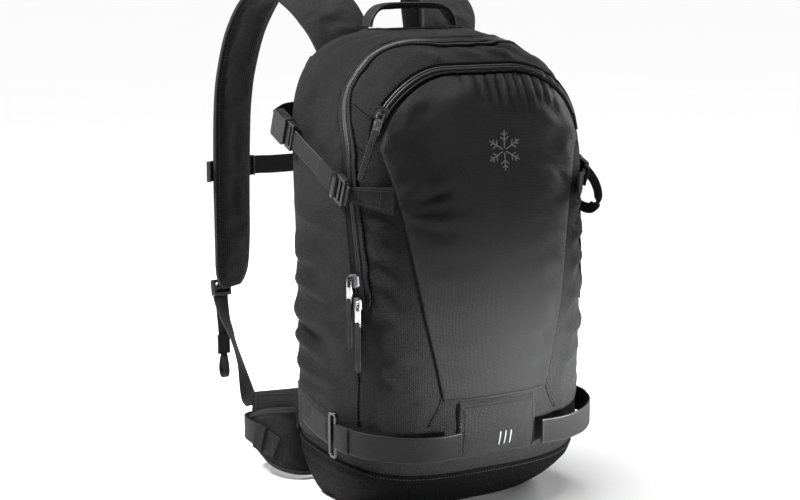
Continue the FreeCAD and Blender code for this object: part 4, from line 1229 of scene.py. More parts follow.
def build_back_panel():
    """Foam with two columns of raised pads, a central channel, and mesh over it."""
    low, high, half = 66.0, 428.0, 103.0
    columns, rows = 121, 181
    lanes, heights = np.linspace(-1, 1, columns), np.linspace(low, high, rows)
    width = half - 8 * (heights - low) / (high - low)
    grid = np.array([[(lane * w, 120.0, z) for lane in lanes] for z, w in zip(heights, width)])
    feet, ups = skin.nearest(grid[:, ::-1])
    grid = grid[:, ::-1]
    x, z = grid[..., 0], grid[..., 2]
    edge = np.minimum(np.minimum(np.abs(np.abs(x) - width[:, None]), z - low), high - z)
    rim = np.sqrt(np.clip(1 - (1 - np.clip(edge / 5, 0, 1)) ** 2, 0, 1))
    channel = 1 - 0.62 * np.exp(-((np.abs(x)) / 11) ** 4)
    gutter = np.ones_like(z)
    for level in (150, 235, 320):
        gutter -= 0.5 * np.exp(-((z - level - 0.12 * np.abs(x)) / 5.5) ** 2) * smooth(12, 22, np.abs(x))
    rise = 10.2 * rim * channel * gutter
    top = feet + ups * rise[..., None]
    under = feet - ups * 0.3
    cloth = cloth_grid(x, z)
    foam = new_piece("back_pads", both_faces(top, under), two_sided_faces(rows, columns), back_mesh,
                     np.vstack([cloth, cloth]), sharp=70)
    tied = np.clip(1 - 1.2 * (rim * channel * gutter).reshape(-1) + 0.15, 0, 1)
    held = np.concatenate([tied, np.ones(len(tied))])
    settle(foam, held, 2.0, 0.01, 1.2, 10)
    place(foam, "pack", "back_panel_foam", "spacer_mesh", slot="spacer_mesh")
    border = np.concatenate([top[3, 3:-3], top[3:-3, -4], top[-4, -4:2:-1], top[-4:2:-1, 3]])
    normals = np.concatenate([ups[3, 3:-3], ups[3:-3, -4], ups[-4, -4:2:-1], ups[-4:2:-1, 3]])
    stitch_row("pack", border, normals, *BORDER_STITCH)
    binding = strip_on_bag("back_panel_binding", spaced(np.concatenate([
        feet[1, 1:-1], feet[1:-1, -2], feet[-2, -2:0:-1], feet[-2:0:-1, 1]])[::4], 2.0),
        [(-2.6, -0.3), (-2.2, 2.0), (-1.0, 3.2), (1.0, 3.2), (2.2, 2.0), (2.6, -0.3)], binding_tape)
    place(binding, "pack", slot="webbing")


def build_yoke():
    """The patch behind the handle that the shoulder straps are sewn under."""
    heights, lanes = np.linspace(434, 474, 26), np.linspace(1, -1, 71)
    grid = np.array([[(lane * (92 - 12 * (z - 434) / 66), 110.0 - 0.9 * max(0, z - 462), z) for lane in lanes]
                     for z in heights])
    yoke, surface, ups = sheet_on_bag("strap_yoke_cloth", grid, strap_cloth, 1.9, 2.0)
    place(yoke, "pack", "strap_yoke", slot="shell_fabric")
    for row in (3, -4):
        stitch_row("pack", surface[row, 2:-2], ups[row, 2:-2])


build_back_panel()
build_yoke()


# ---------------------------------------------------------------- shoulder straps

STRAP_WIDTH, STRAP_THICK, STRAP_STEP = 60.0, 9.0, 3.0
STRAP_LINE = (
    # centre, width direction, share of the full width
    ((-54, 88, 424), (1, 0, 0.2), 1.0), ((-58, 95, 453), (1, 0.02, 0.27), 1.06),
    ((-64, 116, 480), (1, 0.04, 0.3), 1.12),
    ((-74, 145, 500), (1, 0.12, 0.28), 1.1), ((-86, 172, 508), (1, 0.2, 0.22), 1.03),
    ((-99, 196, 496), (1, 0.3, 0.16), 0.98),
    ((-112, 212, 463), (1, 0.38, 0.1), 0.96), ((-121, 220, 420), (1, 0.43, 0.04), 0.94),
    ((-126, 222, 376), (1, 0.45, 0), 0.92),
    ((-128, 223, 304), (1, 0.45, 0), 0.9), ((-128, 224, 240), (1, 0.45, 0), 0.88),
    ((-128, 226, 210), (1, 0.45, 0), 0.84),
    ((-128, 229, 183), (1, 0.45, 0), 0.72),
)


def strap_frame():
    """The strap's centre line, width direction, outward direction and half width, at an even step."""
    centres = np.array([station[0] for station in STRAP_LINE], float)
    path = spaced(centres, STRAP_STEP)
    marks = lengths(path) / lengths(path)[-1]
    knots = lengths(centres) / lengths(centres)[-1]
    side = np.stack([np.interp(marks, knots, [s[1][i] for s in STRAP_LINE]) for i in range(3)], 1)
    half = np.interp(marks, knots, [s[2] for s in STRAP_LINE]) * STRAP_WIDTH / 2
    end = lengths(path)[-1] - lengths(path)
    half = half * np.sqrt(np.clip(1 - (1 - np.clip((end + 3) / 22, 0, 1)) ** 2, 0.06, 1)) ** 0.7
    run = run_of(path)
    side = unit(side - run * np.sum(side * run, axis=1, keepdims=True))
    return path, side, np.cross(side, run), half


def pad_outline(half, thick, belly, rim):
    """A padded section: full in the middle and thin at its two bound edges."""
    lane = np.sin(np.linspace(-math.pi / 2, math.pi / 2, 21))
    body = rim + (thick - rim) * (1 - np.abs(lane) ** belly) ** 0.6
    top = np.stack([lane * half, body / 2], 1)
    under = np.stack([lane[::-1] * half, -body[::-1] / 2], 1)
    return np.vstack([top, under])


def edge_binding(name, path, side, out, half, sign_edge):
    """Tape folded round one edge of a pad."""
    outline = [(-4.6, 2.5), (-4.4, 3.0), (-1.2, 2.6), (0.4, 1.9), (1.1, 0), (0.4, -1.9), (-1.2, -2.6),
               (-4.4, -3.0), (-4.6, -2.5), (-2.0, -1.6), (-1.0, 0), (-2.0, 1.6)]
    edge = path + side * (half * sign_edge)[:, None]
    outline = np.array([(a * sign_edge, b) for a, b in outline])
    if sign_edge < 0:
        outline = outline[::-1]
    points = edge[:, None] + side[:, None] * outline[None, :, :1] + out[:, None] * outline[None, :, 1:]
    rows, columns = points.shape[:2]
    faces = ring_faces(rows, columns)
    cloth = cloth_grid(outline[:, 0] + outline[:, 1], lengths(path)[:, None])
    return new_piece(name, points.reshape(-1, 3), faces, binding_tape, cloth, sharp=60)


PAD_BODIES = {"strap": "shoulder_strap_body_", "hip": "hip_wing_body_"}


def bind_edges(pad, labels, side_name, path, side, out, half, first):
    """Tape round both edges of a pad, with stitches on its two faces from the first free station on."""
    tapes = []
    for edge, label in zip((-1, 1), labels):
        tapes.append(edge_binding(f"{pad}_binding_{label}_{side_name}", path, side, out, half - 0.6, edge))
        for face in (-1, 1):
            line = path + side * ((half - 3.8) * edge)[:, None] + out * 3.1 * face
            stitch_row(PAD_BODIES[pad] + side_name, line[first:], (out * face)[first:], *BORDER_STITCH)
    return tapes


def build_shoulder_strap(side_name, sign):
    body = f"shoulder_strap_body_{side_name}"
    path, side, out, half = strap_frame()
    if sign < 0:
        path = path - np.outer(16 * np.exp(-((lengths(path) - 75) / 55) ** 2), (1, 0, 0))
    path, side, out = sided(path, sign), sided(side, sign), sided(out, sign)
    outline = np.array([pad_outline(w, STRAP_THICK, 3.2, 3.6) for w in half])
    points = path[:, None] + side[:, None] * outline[..., :1] + out[:, None] * outline[..., 1:]
    rows, columns = points.shape[:2]
    faces = ring_faces(rows, columns, flip=sign > 0)
    reach = np.broadcast_to(lengths(path)[:, None], (rows, columns))
    cloth = cloth_grid(outline[..., 0], reach)
    pad = new_piece(f"strap_pad_{side_name}", points.reshape(-1, 3), faces, strap_cloth, cloth, sharp=60)
    pad.data.materials.append(mesh_cloth)
    inner = [1 if (index % columns) >= columns // 2 else 0 for index in range((rows - 1) * columns)]
    pad.data.polygons.foreach_set("material_index", inner + [0, 0])
    lane = np.abs(outline[..., 0]) / half[:, None]
    held = np.maximum(smooth(0.72, 0.92, lane), (reach < 8) | (reach > reach.max() - 10))
    settle(pad, held.reshape(-1), 2.2, 0.012, 2.2, 12)
    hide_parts(f"shoulder_strap_{side_name}")
    pieces = [pad, *bind_edges("strap", ("inner", "outer"), side_name, path, side, out, half, 30)]
    web_line = path + out * sign * (STRAP_THICK / 2 + 0.9)
    web = sweep(f"strap_spine_web_{side_name}", web_line[42:-4], side[42:-4], flat_section(20, 1.5),
                narrow_web)
    pieces.append(web)
    for piece in pieces:
        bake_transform(piece)
    for mark in np.arange(135, 420, 62.0):
        index = int(mark / STRAP_STEP)
        bartack(body, web_line[index] + out[index] * sign * 0.8, side[index], run_of(path)[index],
                out[index] * sign, 18)


for side_name, sign in SIDES:
    build_shoulder_strap(side_name, sign)


ANCHOR_EYE, LOCK_CENTRE = np.array((-141.0, 156, 72)), np.array((-137.0, 238, 180))


def ring_path(centre, across, wide, tall):
    """A teardrop loop that hangs from its top point."""
    loop = []
    for turn in np.linspace(0, 2 * math.pi, 48):
        sideways = np.asarray(across) * wide * math.sin(turn) * (1 - 0.55 * math.cos(turn)) / 1.2
        drop = np.array((0, 0, 1.0)) * tall / 2 * (math.cos(turn) - 1)
        loop.append(np.asarray(centre) + sideways + drop)
    return np.array(loop)


def build_strap_webbing(side_name, sign):
    """The adjuster webbing below the strap: it runs through the lock and down to the bag's corner."""
    body = f"shoulder_strap_body_{side_name}"
    top = LOCK_CENTRE + (0, 1.5, -12)
    main = [top + (0.6, 0, 14), top, top + (-1.2, -14, -20), top + (-2.4, -34, -36), top + (-3.4, -58, -60),
            ANCHOR_EYE + (0, 3, 3), ANCHOR_EYE + (1, -8, -3)]
    web = webbing(f"adjuster_web_{side_name}", sided(main, sign), (1, 0.05 * sign, 0), 19.4, 1.5, narrow_web,
                  2.0, 0.8,
                  (0.42, 0.8 * sign, 0))
    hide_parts(f"strap_webbing_{side_name}")
    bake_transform(web)
    tail = [top + (1, 3.4, 12), top + (1, 3.6, -4), top + (1, 0, -30), top + (1.4, -2.6, -62)]
    place(webbing(f"adjuster_tail_{side_name}", sided(tail, sign), (1, 0, 0), 11, 1.4, narrow_web, 2.0, 1.0),
          body, slot="webbing")
    knee = top + (1.4, -2.6, -62)
    keeper = [(-6.6, 2.2), (6.6, 2.2), (7.4, 0), (6.6, -2.2), (-6.6, -2.2), (-7.4, 0)]
    sleeve_path = spaced(sided([knee + (0, 0.4, 20), knee + (0, 0, 6), knee + (0, 0, -1)], sign), 1.5)
    sleeve = sweep(f"tail_sleeve_{side_name}", sleeve_path, (1, 0, 0), keeper, tab_rubber)
    place(sleeve, body, slot="puller_tab")
    loop = ring_path(sided(knee + (0, 0, -1), sign), (0, 1, 0), 7.5, 27)
    ring = sweep(f"tail_loop_{side_name}", spaced(loop, 1.2), (1, 0, 0), flat_section(7, 1.3, 5, 3),
                 narrow_web)
    place(ring, body, slot="webbing")
    fold = [LOCK_CENTRE + (1.6, -3, 5), LOCK_CENTRE + (3, -5.0, 8),
            np.array((-126, 233.5, 200)), np.array((-124.6, 231.6, 214))]
    place(webbing(f"lock_web_{side_name}", sided(fold, sign), (1, 0.45 * sign, 0), 19.4, 1.6, narrow_web),
          body, slot="webbing")


def build_lower_anchor(side_name, sign):
    """The cloth triangle sewn into the bag's rear corner, folded over the webbing's end."""
    low, high = np.array((-117.0, 84, 56)), np.array((-117.0, 84, 100))
    tip = ANCHOR_EYE + (1, -6, 0)
    tip_low, tip_high = tip - (0, 0, 10.4), tip + (0, 0, 10.4)
    up = np.linspace(0, 1, 18)
    shares = np.linspace(0, 1, 30)[:, None]
    lower, upper = low + (tip_low - low) * shares, high + (tip_high - high) * shares
    rows = np.stack([lower + (upper - lower) * t for t in up])
    normal = unit(np.cross(high - low, tip_high - low))
    bulge = 1.2 * np.sin(math.pi * up)[:, None] * np.sin(math.pi * shares.T)
    rim = np.minimum(up, 1 - up)[:, None]
    thick = 1.3 + 0.7 * np.exp(-((rim - 0.08) / 0.05) ** 2)
    top, under = rows + normal * (bulge + thick)[..., None], rows + normal * (bulge - thick)[..., None]
    top, under = sided(top, sign), sided(under, sign)
    cloth = cloth_grid(np.linalg.norm(rows - low, axis=-1), rows[..., 2])
    piece = new_piece(f"corner_triangle_{side_name}", both_faces(top, under),
                      two_sided_faces(len(up), len(shares), flip=sign < 0), wing_cloth,
                      np.vstack([cloth, cloth]), sharp=60)
    place(piece, "pack", f"lower_anchor_{side_name}", slot="wing_fabric")
    for row in (2, -3):
        stitch_row("pack", top[row], np.broadcast_to(sided(normal, sign), top[row].shape), "seam", 3.0, 2.0,
                   0.55, 0.1)
    bartack("pack", top[9, -4], (0, 0, 1), sided(tip - low, sign), sided(normal, sign), 17)


for side_name, sign in SIDES:
    build_strap_webbing(side_name, sign)
    build_lower_anchor(side_name, sign)


# ---------------------------------------------------------------- handle, compression and ski straps

def build_handle():
    path = [(-49, 60, 468), (-46.5, 60, 477), (-40, 60, 484.5), (-30, 60, 487.6), (0, 60, 488.6),
            (30, 60, 487.6),
            (40, 60, 484.5), (46.5, 60, 477), (49, 60, 468)]
    line = spaced(path, 1.6)
    share = lengths(line) / lengths(line)[-1]
    waist = 1 - 0.3 * smooth(0.12, 0.3, share) * (1 - smooth(0.7, 0.88, share))
    plump = 1 + 1.1 * smooth(0.12, 0.3, share) * (1 - smooth(0.7, 0.88, share))
    grip = sweep("handle_grip", line, (0, 1, 0), flat_section(20, 3, 10, 6), narrow_web,
                 np.stack([waist, plump], 1))
    place(grip, "pack", "grab_handle", slot="webbing")
    for sign in (-1, 1):
        bartack("pack", (sign * 48.6, 60, 472), (0, 1, 0), (0, 0, 1), (sign, 0, 0.3), 17)
    above = np.array([[(x, y, 500.0) for x in np.linspace(-62, 62, 61)] for y in np.linspace(46, 74, 18)])
    patch, surface, ups = sheet_on_bag("handle_patch", above, wing_cloth, 1.5, 1.8)
    place(patch, "pack", slot="shell_fabric")
    for row in (3, -4):
        stitch_row("pack", surface[row, 2:-2], ups[row, 2:-2])


COMPRESSION_AXIS = unit((0.02, -0.93, -0.37))
COMPRESSION_START = np.array((-138.5, 84, 377))
COMPRESSION_ACROSS = unit(np.cross(COMPRESSION_AXIS, (1, 0, 0)))
OUTWARD = np.array((-1.0, 0, 0))


def along_compression(distance, out=0.0):
    return COMPRESSION_START + COMPRESSION_AXIS * distance + OUTWARD * out


def build_compression(side_name, sign):
    """Webbing from the buckle to the lock, its doubled end, and the sewn tab in front."""
    body = f"compression_body_{side_name}"
    across = sided(COMPRESSION_ACROSS, sign)
    main = [along_compression(37.0), along_compression(44, 0.3), along_compression(80, 0.9),
            along_compression(120, 0.5), along_compression(157.5)]
    place(webbing(f"compression_web_{side_name}", sided(main, sign), across, 20, 1.5, narrow_web),
          body, f"compression_webbing_{side_name}", slot="webbing")
    fold = [along_compression(104, 1.9), along_compression(112, 2.4), along_compression(130, 2.3)]
    sleeve = sweep(f"doubled_end_{side_name}", spaced(sided(fold, sign), 1.5), across,
                   flat_section(21.6, 4.6, 8, 6), wing_cloth)
    place(sleeve, "pack", slot="webbing")
    tip = along_compression(104, 4.4)
    stitch_line = np.array([tip + COMPRESSION_ACROSS * w for w in (-9, 9)])
    stitch_row("pack", sided(stitch_line, sign), np.broadcast_to(sided(OUTWARD, sign), (2, 3)), "seam", 2.4,
               1.9, 0.6, 0.1)
    bar_line = [along_compression(133.5, 2.9) + COMPRESSION_ACROSS * w for w in np.linspace(-13.2, 13.2, 9)]
    turns = np.linspace(0, 2 * math.pi, 16, endpoint=False)
    bar = sweep(f"lock_bar_{side_name}", spaced(sided(bar_line, sign), 1.2), sided(COMPRESSION_AXIS, sign),
                np.stack([3.1 * np.cos(turns), 2.3 * np.sin(turns)], 1), black_plastic,
                np.stack([np.clip(np.sin(np.linspace(0.35, math.pi - 0.35, 23)) * 1.5, 0, 1)] * 2, 1))
    place(bar, "pack", slot="moulded_plastic")

    start = along_compression(152) + (4.0, 0, 0)
    end = np.array((-103.0, -91.5, 316))
    shares, lanes = np.linspace(0, 1, 26), np.linspace(-1, 1, 15)
    upward = COMPRESSION_ACROSS * np.sign(COMPRESSION_ACROSS[2])
    rows = []
    for share in shares:
        centre = start + (end - start) * share
        half_up = 7.5 + 5.5 * share
        width = np.array((0, 0, 1.0)) * share + upward * (1 - share)
        rows.append([centre + width * half_up * lane for lane in lanes])
    rows = np.array(rows)
    bow = 2.2 * np.sin(math.pi * shares)[:, None] * np.ones(len(lanes))
    normal = unit(np.cross(rows[-1, 7] - rows[0, 7], (0, 0, 1)))
    normal = normal if normal[0] < 0 else -normal
    ridge = 0.5 * np.exp(-((np.abs(lanes) - 0.82) / 0.12) ** 2)
    top = sided(rows + normal * (bow + 1.3 + ridge)[..., None], sign)
    under = sided(rows + normal * (bow - 0.9)[..., None], sign)
    cloth = cloth_grid(12 * lanes, 56 * shares[:, None])
    tab = new_piece(f"tension_tab_{side_name}", both_faces(top, under),
                    two_sided_faces(*bow.shape, flip=sign > 0), wing_cloth, np.vstack([cloth, cloth]),
                    sharp=60)
    place(tab, "pack", f"compression_tab_{side_name}", slot="webbing")
    out = sided(normal, sign)
    for column in (2, -3):
        stitch_row("pack", top[3:-1, column], np.broadcast_to(out, top[3:-1, column].shape), "seam", 2.6,
                   1.9, 0.55, 0.1)
    for row in (6, 18):
        stitch_row("pack", top[row, 2:-2], np.broadcast_to(out, top[row, 2:-2].shape), "seam", 1.6, *TACK)


def build_anchor_tapes():
    """The tapes that hold the rear buckles to the back panel's edge."""
    first = None
    for side_name, sign in SIDES:
        path = [(-101, 92.5, 384), (-112, 92.3, 384), (-124, 91.4, 383), (-133, 88.5, 380),
                (-138.3, 85.8, 377.8)]
        web = webbing(f"buckle_tape_{side_name}", sided(path, sign), (0, 0, 1), 20, 1.5, narrow_web)
        place(web, "pack", slot="webbing")
        bartack("pack", sided((-104, 93.4, 384), sign), (0, 0, 1), (sign, 0, 0), (0, 1, 0), 17)
        first = first or web
    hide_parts("compression_anchor_tapes")


def build_ski_strap(side_name, sign):
    """The wide webbing bridge from the ring to the low pocket, with its folded end."""
    path = [(-138.2, -44.5, 86), (-137.6, -56, 86), (-133, -75, 85.6), (-122, -92, 85), (-104, -107.5, 84),
            (-86, -115.8, 83.6), (-68, -119.4, 83), (-46, -118.6, 83)]
    line = sided(path, sign)
    place(webbing(f"ski_web_{side_name}", line, (0, 0, 1), 25, 1.6, wide_web_with_painted_shade),
          "pack", f"ski_strap_{side_name}", slot="webbing")
    fold = [(-136.6, -40.5, 86), (-139.6, -40.0, 86), (-140.3, -44.0, 86), (-139.6, -55, 86),
            (-137.6, -64, 86)]
    place(webbing(f"ski_web_fold_{side_name}", sided(fold, sign), (0, 0, 1), 25, 1.5, wide_web_with_painted_shade, 1.2),
          "pack", slot="webbing")
    bartack("pack", sided((-139.3, -62, 86), sign), (0, 0, 1), sided((-0.3, -1, 0), -sign),
            sided((-1, -0.3, 0), sign), 22)
    tongue = [(-134.5, 40, 92), (-138.4, 10, 90), (-139.2, -10, 88), (-139.0, -28, 86), (-139.4, -33.4, 86)]
    place(webbing(f"ring_tongue_{side_name}", sided(tongue, sign), (0, 0, 1), 26, 1.8, wide_web_with_painted_shade),
          "pack", slot="webbing")
    bartack("pack", sided((-140.3, -22, 87), sign), (0, 0, 1), (0, 1, 0), sided((-1, 0, 0), sign), 22)
    stitch_row("pack", sided([(-47, -120.0, z) for z in (72.5, 94)], sign),
               np.broadcast_to((0, -1.0, 0), (2, 3)), "seam",
               1.5, 1.4, 0.6, 0.1)


def build_loose_tail():
    """The loose end that curls out of the right lock."""
    path = [(138.6, -44, 331), (141.6, -52, 325), (145.4, -62, 313), (146.6, -66, 299), (144.4, -58, 287),
            (142.0, -42, 288),
            (141.2, -31, 296)]
    place(webbing("loose_tail", path, (0.1, -0.5, 0.86), 11, 1.5, narrow_web, 1.5),
          "pack", slot="webbing")


build_handle()
build_loose_tail()
for side_name, sign in SIDES:
    build_compression(side_name, sign)
    build_ski_strap(side_name, sign)
build_anchor_tapes()


# ---------------------------------------------------------------- hip belt and sternum strap

def build_hip_wing(side_name, sign):
    """A thin padded wing that hugs the boot's corner, bound round its edge."""
    body = f"hip_wing_body_{side_name}"
    stations = (((-92, 85.6, 41), 38, 2.4), ((-108, 86.4, 41.5), 37.5, 3.0), ((-120, 89.5, 42), 36.5, 4.6),
                ((-130, 98, 42.5), 34.5, 6.2),
                ((-137, 112, 43), 31, 6.6), ((-141, 128, 44), 24, 6.0), ((-144, 146, 45), 15, 4.0))
    path = spaced([s[0] for s in stations], 2.5)
    marks, knots = lengths(path) / lengths(path)[-1], lengths(np.array([s[0] for s in stations], float))
    half = np.interp(marks, knots / knots[-1], [s[1] for s in stations])
    thick = np.interp(marks, knots / knots[-1], [s[2] for s in stations])
    side = np.broadcast_to(np.array((0.0, 0, 1)), path.shape)
    out = unit(np.cross(side, run_of(path)))
    path, out = sided(path, sign), sided(out, sign)
    outline = np.array([pad_outline(w, t, 3.2, 2.4) for w, t in zip(half, thick)])
    points = path[:, None] + side[:, None] * outline[..., :1] + out[:, None] * outline[..., 1:]
    rows, columns = points.shape[:2]
    faces = ring_faces(rows, columns, flip=sign < 0)
    cloth = cloth_grid(outline[..., 0], lengths(path)[:, None])
    wing = new_piece(f"hip_pad_{side_name}", points.reshape(-1, 3), faces, wing_cloth, cloth,
                     sharp=60)
    lane = np.abs(outline[..., 0]) / half[:, None]
    settle(wing, smooth(0.7, 0.92, lane).reshape(-1), 2.0, 0.015, 1.4, 12)
    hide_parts(f"hip_wing_{side_name}")
    pieces = [wing, *bind_edges("hip", ("low", "high"), side_name, path, side, out, half, 8)]
    for piece in pieces:
        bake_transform(piece)
    web_path = [(-136.5, 99, 34), (-143.0, 110, 39), (-148.4, 124, 43.4), (-150.2, 137, 45),
                (-149.3, 149, 45), (-145, 158.5, 45),
                (-132, 163.4, 45), (-90, 165, 45), (-38.5, 166, 45)]
    place(webbing(f"hip_web_{side_name}", sided(web_path, sign), (0, 0, 1), 25, 1.6, wide_web_with_painted_shade),
          body, f"hip_webbing_{side_name}", slot="webbing")
    bartack(body, sided((-139.6, 103, 36), sign), (0, 0, 1), sided((-0.5, 1, 0.4), sign),
            sided((-1, -0.5, 0), sign), 22)
    keeper = sweep(f"hip_keeper_{side_name}",
                   spaced(sided([(-144.6, 112, 39.8), (-148.9, 123.6, 43.3)], sign), 1.5), (0, 0, 1),
                   flat_section(29, 5.0, 8, 6), wing_cloth)
    place(keeper, body, slot="wing_fabric")


STERNUM_HEIGHT, CHEST_GAP, PLUG_BASE, SOCKET_LONG, BAND_WIDE = 312.0, 12.0, 13.0, 27.0, 72.0


def build_sternum(side_name, sign):
    upper, lower = np.array((-125.0, 222, 376)), np.array((-125.0, 224, 232))
    centre = upper + (lower - upper) * (upper[2] - STERNUM_HEIGHT) / (upper[2] - lower[2])
    side_axis = unit((1, 0.45, 0))
    out = np.array((-side_axis[1], side_axis[0], 0))
    edge = centre + side_axis * (BAND_WIDE / 2 + 0.3) + out * (STRAP_THICK / 2 + 1)
    inner_x = -CHEST_GAP - PLUG_BASE + 5 if sign > 0 else -CHEST_GAP - SOCKET_LONG - 7
    path = [edge - side_axis * 10 + out * 1.8, edge + (0, 1.2, 0), edge + (10, 2, 0), edge + (28, 2.6, -0.6),
            np.array((inner_x, edge[1] + 2, edge[2]))]
    body = f"sternum_body_{side_name}"
    place(webbing(f"sternum_web_{side_name}", sided(path, sign), (0, 0, 1), 20, 1.5, narrow_web),
          body, f"sternum_webbing_{side_name}", slot="webbing")
    bartack(body, sided(edge - side_axis * 5 + out * 2.6, sign), (0, 0, 1), sided(side_axis, sign),
            sided(out, sign), 17)
    fold_end = np.array((inner_x - 16, edge[1] + 3.6, edge[2]))
    fold = [fold_end, fold_end + (8, 0.2, 0), np.array((inner_x - 1.0, edge[1] + 3.4, edge[2]))]
    place(webbing(f"sternum_fold_{side_name}", sided(fold, sign), (0, 0, 1), 20, 1.5, narrow_web),
          body, slot="webbing")
    bartack(body, sided(fold_end + (3, 1, 0), sign), (0, 0, 1), (1, 0, 0), (0, 1, 0), 17)


for side_name, sign in SIDES:
    build_hip_wing(side_name, sign)
    build_sternum(side_name, sign)


# ---------------------------------------------------------------- hardware: CAD parts with softened edges

def soften(node, material, width, segments=3):
    """Rounds the moulded edges of a CAD part, and gives it its finish."""
    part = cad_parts[node]
    weld = part.modifiers.new("Weld", "WELD")
    weld.merge_threshold = 0.00002
    bevel = part.modifiers.new("Softened edges", "BEVEL")
    bevel.width, bevel.segments = width * MM, segments
    bevel.limit_method, bevel.angle_limit = "ANGLE", math.radians(35)
    bevel.harden_normals = False
    part.data.materials.clear()
    part.data.materials.append(material)


def puller_tab(name):
    """The ribbed tab of a zip pull, in the place of its plain CAD strip."""
    spots = coordinates(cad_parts[name].data)
    middle = spots.mean(axis=0)
    axes = np.linalg.svd(spots - middle)[2]
    long_axis, wide_axis = axes[0], axes[1]
    if long_axis[2] > 0:
        long_axis = -long_axis
    reach = np.abs((spots - middle) @ long_axis).max()
    path = spaced([middle - long_axis * (reach + 3.5), middle, middle + long_axis * reach], 0.5)
    share = lengths(path) / lengths(path)[-1]
    taper = 1 - 0.12 * share
    ribbed = smooth(0.2, 0.26, share) * (1 - smooth(0.9, 0.95, share))
    notch = 1 + 0.16 * np.cos(lengths(path) * 2 * math.pi / 2.6) * ribbed
    end = np.sqrt(np.clip(1 - (1 - np.clip((1 - share) / 0.06, 0, 1)) ** 2, 0.15, 1))
    return sweep(name + "_ribbed", path, wide_axis, flat_section(7.2, 2.3, 6, 4), tab_rubber,
                 np.stack([taper * end, notch], 1))


RUNNERS = ("main_upper", "main_lower", "front")
for runner in RUNNERS:
    soften(f"{runner}_slider", slider_zinc, 0.45)
    soften(f"{runner}_pull", pull_zinc, 0.35)
    tab = puller_tab(f"{runner}_puller_tab")
    place(tab, f"{runner}_pull_body", f"{runner}_puller_tab", slot="puller_tab")
for side_name, _ in SIDES:
    for node in ("compression_buckle_socket", "compression_buckle_plug", "compression_ladder_lock",
                 "strap_ladder_lock"):
        soften(f"{node}_{side_name}", black_plastic, 0.8)
    soften(f"sternum_band_{side_name}", black_plastic, 0.5)
    soften(f"ski_ring_{side_name}", ring_plastic, 1.2, 4)
for node in ("sternum_buckle_plug", "sternum_buckle_socket", "hip_buckle_plug", "hip_buckle_socket"):
    soften(node, black_plastic, 0.8)
soften("frame_sheet", stiff_plastic, 0.3)


# ---------------------------------------------------------------- printed marks

def printed_bar(points, wide):
    """One stroke of a print, as a thin raised film on the cloth; returns its points, as rings along the
    stroke.
    """
    path, ups = skin.nearest(spaced(skin.nearest(on_front(points))[0], 1.2))
    side = unit(np.cross(ups, run_of(path)))
    top = [path + side * w + ups * 2.2 for w in (-wide / 2, wide / 2)]
    low = [path + side * w + ups * 1.7 for w in (wide / 2, -wide / 2)]
    return np.stack([*top, *low], axis=1)


def build_print(name, strokes, wide, lift):
    points, faces = [], []
    for stroke in strokes:
        ring = printed_bar(stroke, wide)
        faces += ring_faces(*ring.shape[:2], flip=True, start=len(points))
        points.extend(ring.reshape(-1, 3))
    points = np.array(points)
    points = points + skin.nearest(points)[1] * lift
    mark = new_piece(name, points, faces, grey_print, np.stack([points[:, 0], points[:, 2]], 1), sharp=30)
    return place(mark, "pack")


def snow_crystal(centre_x, centre_z, radius):
    """Six plain arms with a pair of barbs each."""
    strokes = []
    for arm in range(6):
        turn = math.radians(60 * arm + 90)
        aim = (math.cos(turn), math.sin(turn))
        tip = (centre_x + aim[0] * radius, centre_z + aim[1] * radius)
        strokes.append([(centre_x + aim[0] * 2.2, centre_z + aim[1] * 2.2), tip])
        for share, long in ((0.5, 0.28), (0.74, 0.2)):
            root = (centre_x + aim[0] * radius * share, centre_z + aim[1] * radius * share)
            for lean in (-1, 1):
                side = turn + lean * math.radians(55)
                strokes.append([root, (root[0] + math.cos(side) * radius * long,
                                       root[1] + math.sin(side) * radius * long)])
    return strokes


build_print("snow_crystal_print", snow_crystal(12, 357, 19), 1.1, 0.0)
build_print("low_pocket_print", [[(-1, 79), (-1, 91)], [(5, 79), (5, 91)], [(11, 79), (11, 91)]], 1.6, 5.6)

for body, kind in sorted(stitches):
    # The "dark" stitches take the near-black thread, which paints the shade of sunken stitch lines.
    sew(body, kind, {"seam": seam_thread, "dark": seam_shade_thread}[kind])


# ---------------------------------------------------------------- floor, light and camera

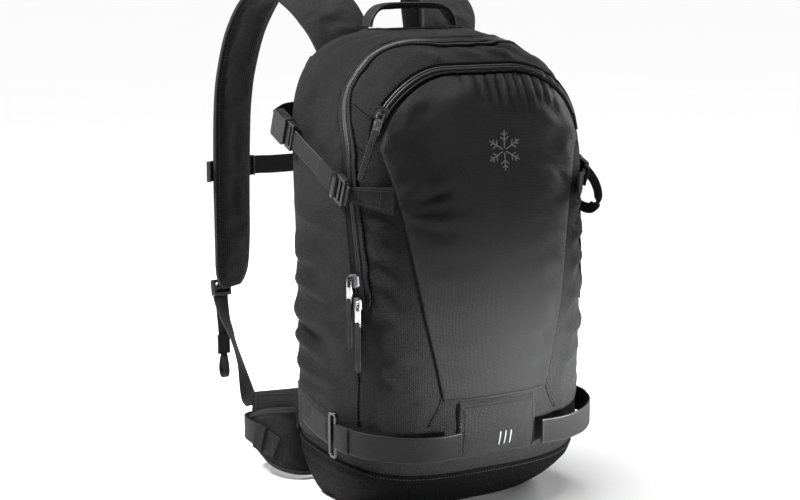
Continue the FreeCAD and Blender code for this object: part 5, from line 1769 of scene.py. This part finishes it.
def build_floor():
    mesh = bpy.data.meshes.new("floor")
    reach = 30.0
    mesh.from_pydata([(-reach, -reach, 0), (reach, -reach, 0), (reach, reach, 0), (-reach, reach, 0)], [],
                     [(0, 1, 2, 3)])
    mesh.materials.append(floor_paint("pale floor", 0.93))
    put_in_scene("floor", mesh)


def aimed(holder, place_at, direction):
    holder.location = place_at
    holder.rotation_euler = Vector(direction).to_track_quat("-Z", "Y").to_euler()


def soft_light(name, place_at, aim, size, power, tall):
    lamp = bpy.data.lights.new(name, "AREA")
    lamp.energy, lamp.size = power, size
    lamp.shape, lamp.size_y = "RECTANGLE", tall
    aimed(put_in_scene(name, lamp), place_at, Vector(aim) - Vector(place_at))


def build_light():
    world = bpy.data.worlds.new("studio")
    world.use_nodes = True
    backdrop = world.node_tree.nodes["Background"]
    backdrop.inputs["Color"].default_value = (1.0, 1.0, 1.0, 1)
    backdrop.inputs["Strength"].default_value = 0.11
    bpy.context.scene.world = world
    sky = bpy.data.lights.new("ceiling", "SUN")
    sky.energy, sky.angle = 3.1, math.radians(40)
    put_in_scene("ceiling", sky).rotation_euler = (math.radians(-8), math.radians(-6), 0)
    soft_light("left softbox", (-0.75, 0.35, 1.25), (-0.13, 0.02, 0.2), 0.3, 34, 0.3)
    soft_light("right rim strip", (1.5, 0.4, 0.9), (0.1, 0.0, 0.25), 0.3, 14, 1.0)
    glow = bpy.data.lights.new("front right spot", "SPOT")
    glow.energy, glow.spot_size, glow.spot_blend, glow.shadow_soft_size = 330, math.radians(18), 1.0, 0.07
    spot_at = Vector((0.55, -0.72, 0.12))
    aimed(put_in_scene("front right spot", glow), spot_at, Vector((0.05, -0.105, 0.14)) - spot_at)
    bpy.context.scene.view_settings.view_transform = "Standard"


def build_camera():
    lens = bpy.data.cameras.new("camera")
    lens.lens, lens.sensor_width = 68.4, 36
    eye = put_in_scene("camera", lens)
    aimed(eye, (-0.7726, -1.2858, 0.525), (0.4842, 0.8558, -0.1822))
    bpy.context.scene.camera = eye


build_floor()
build_light()
build_camera()
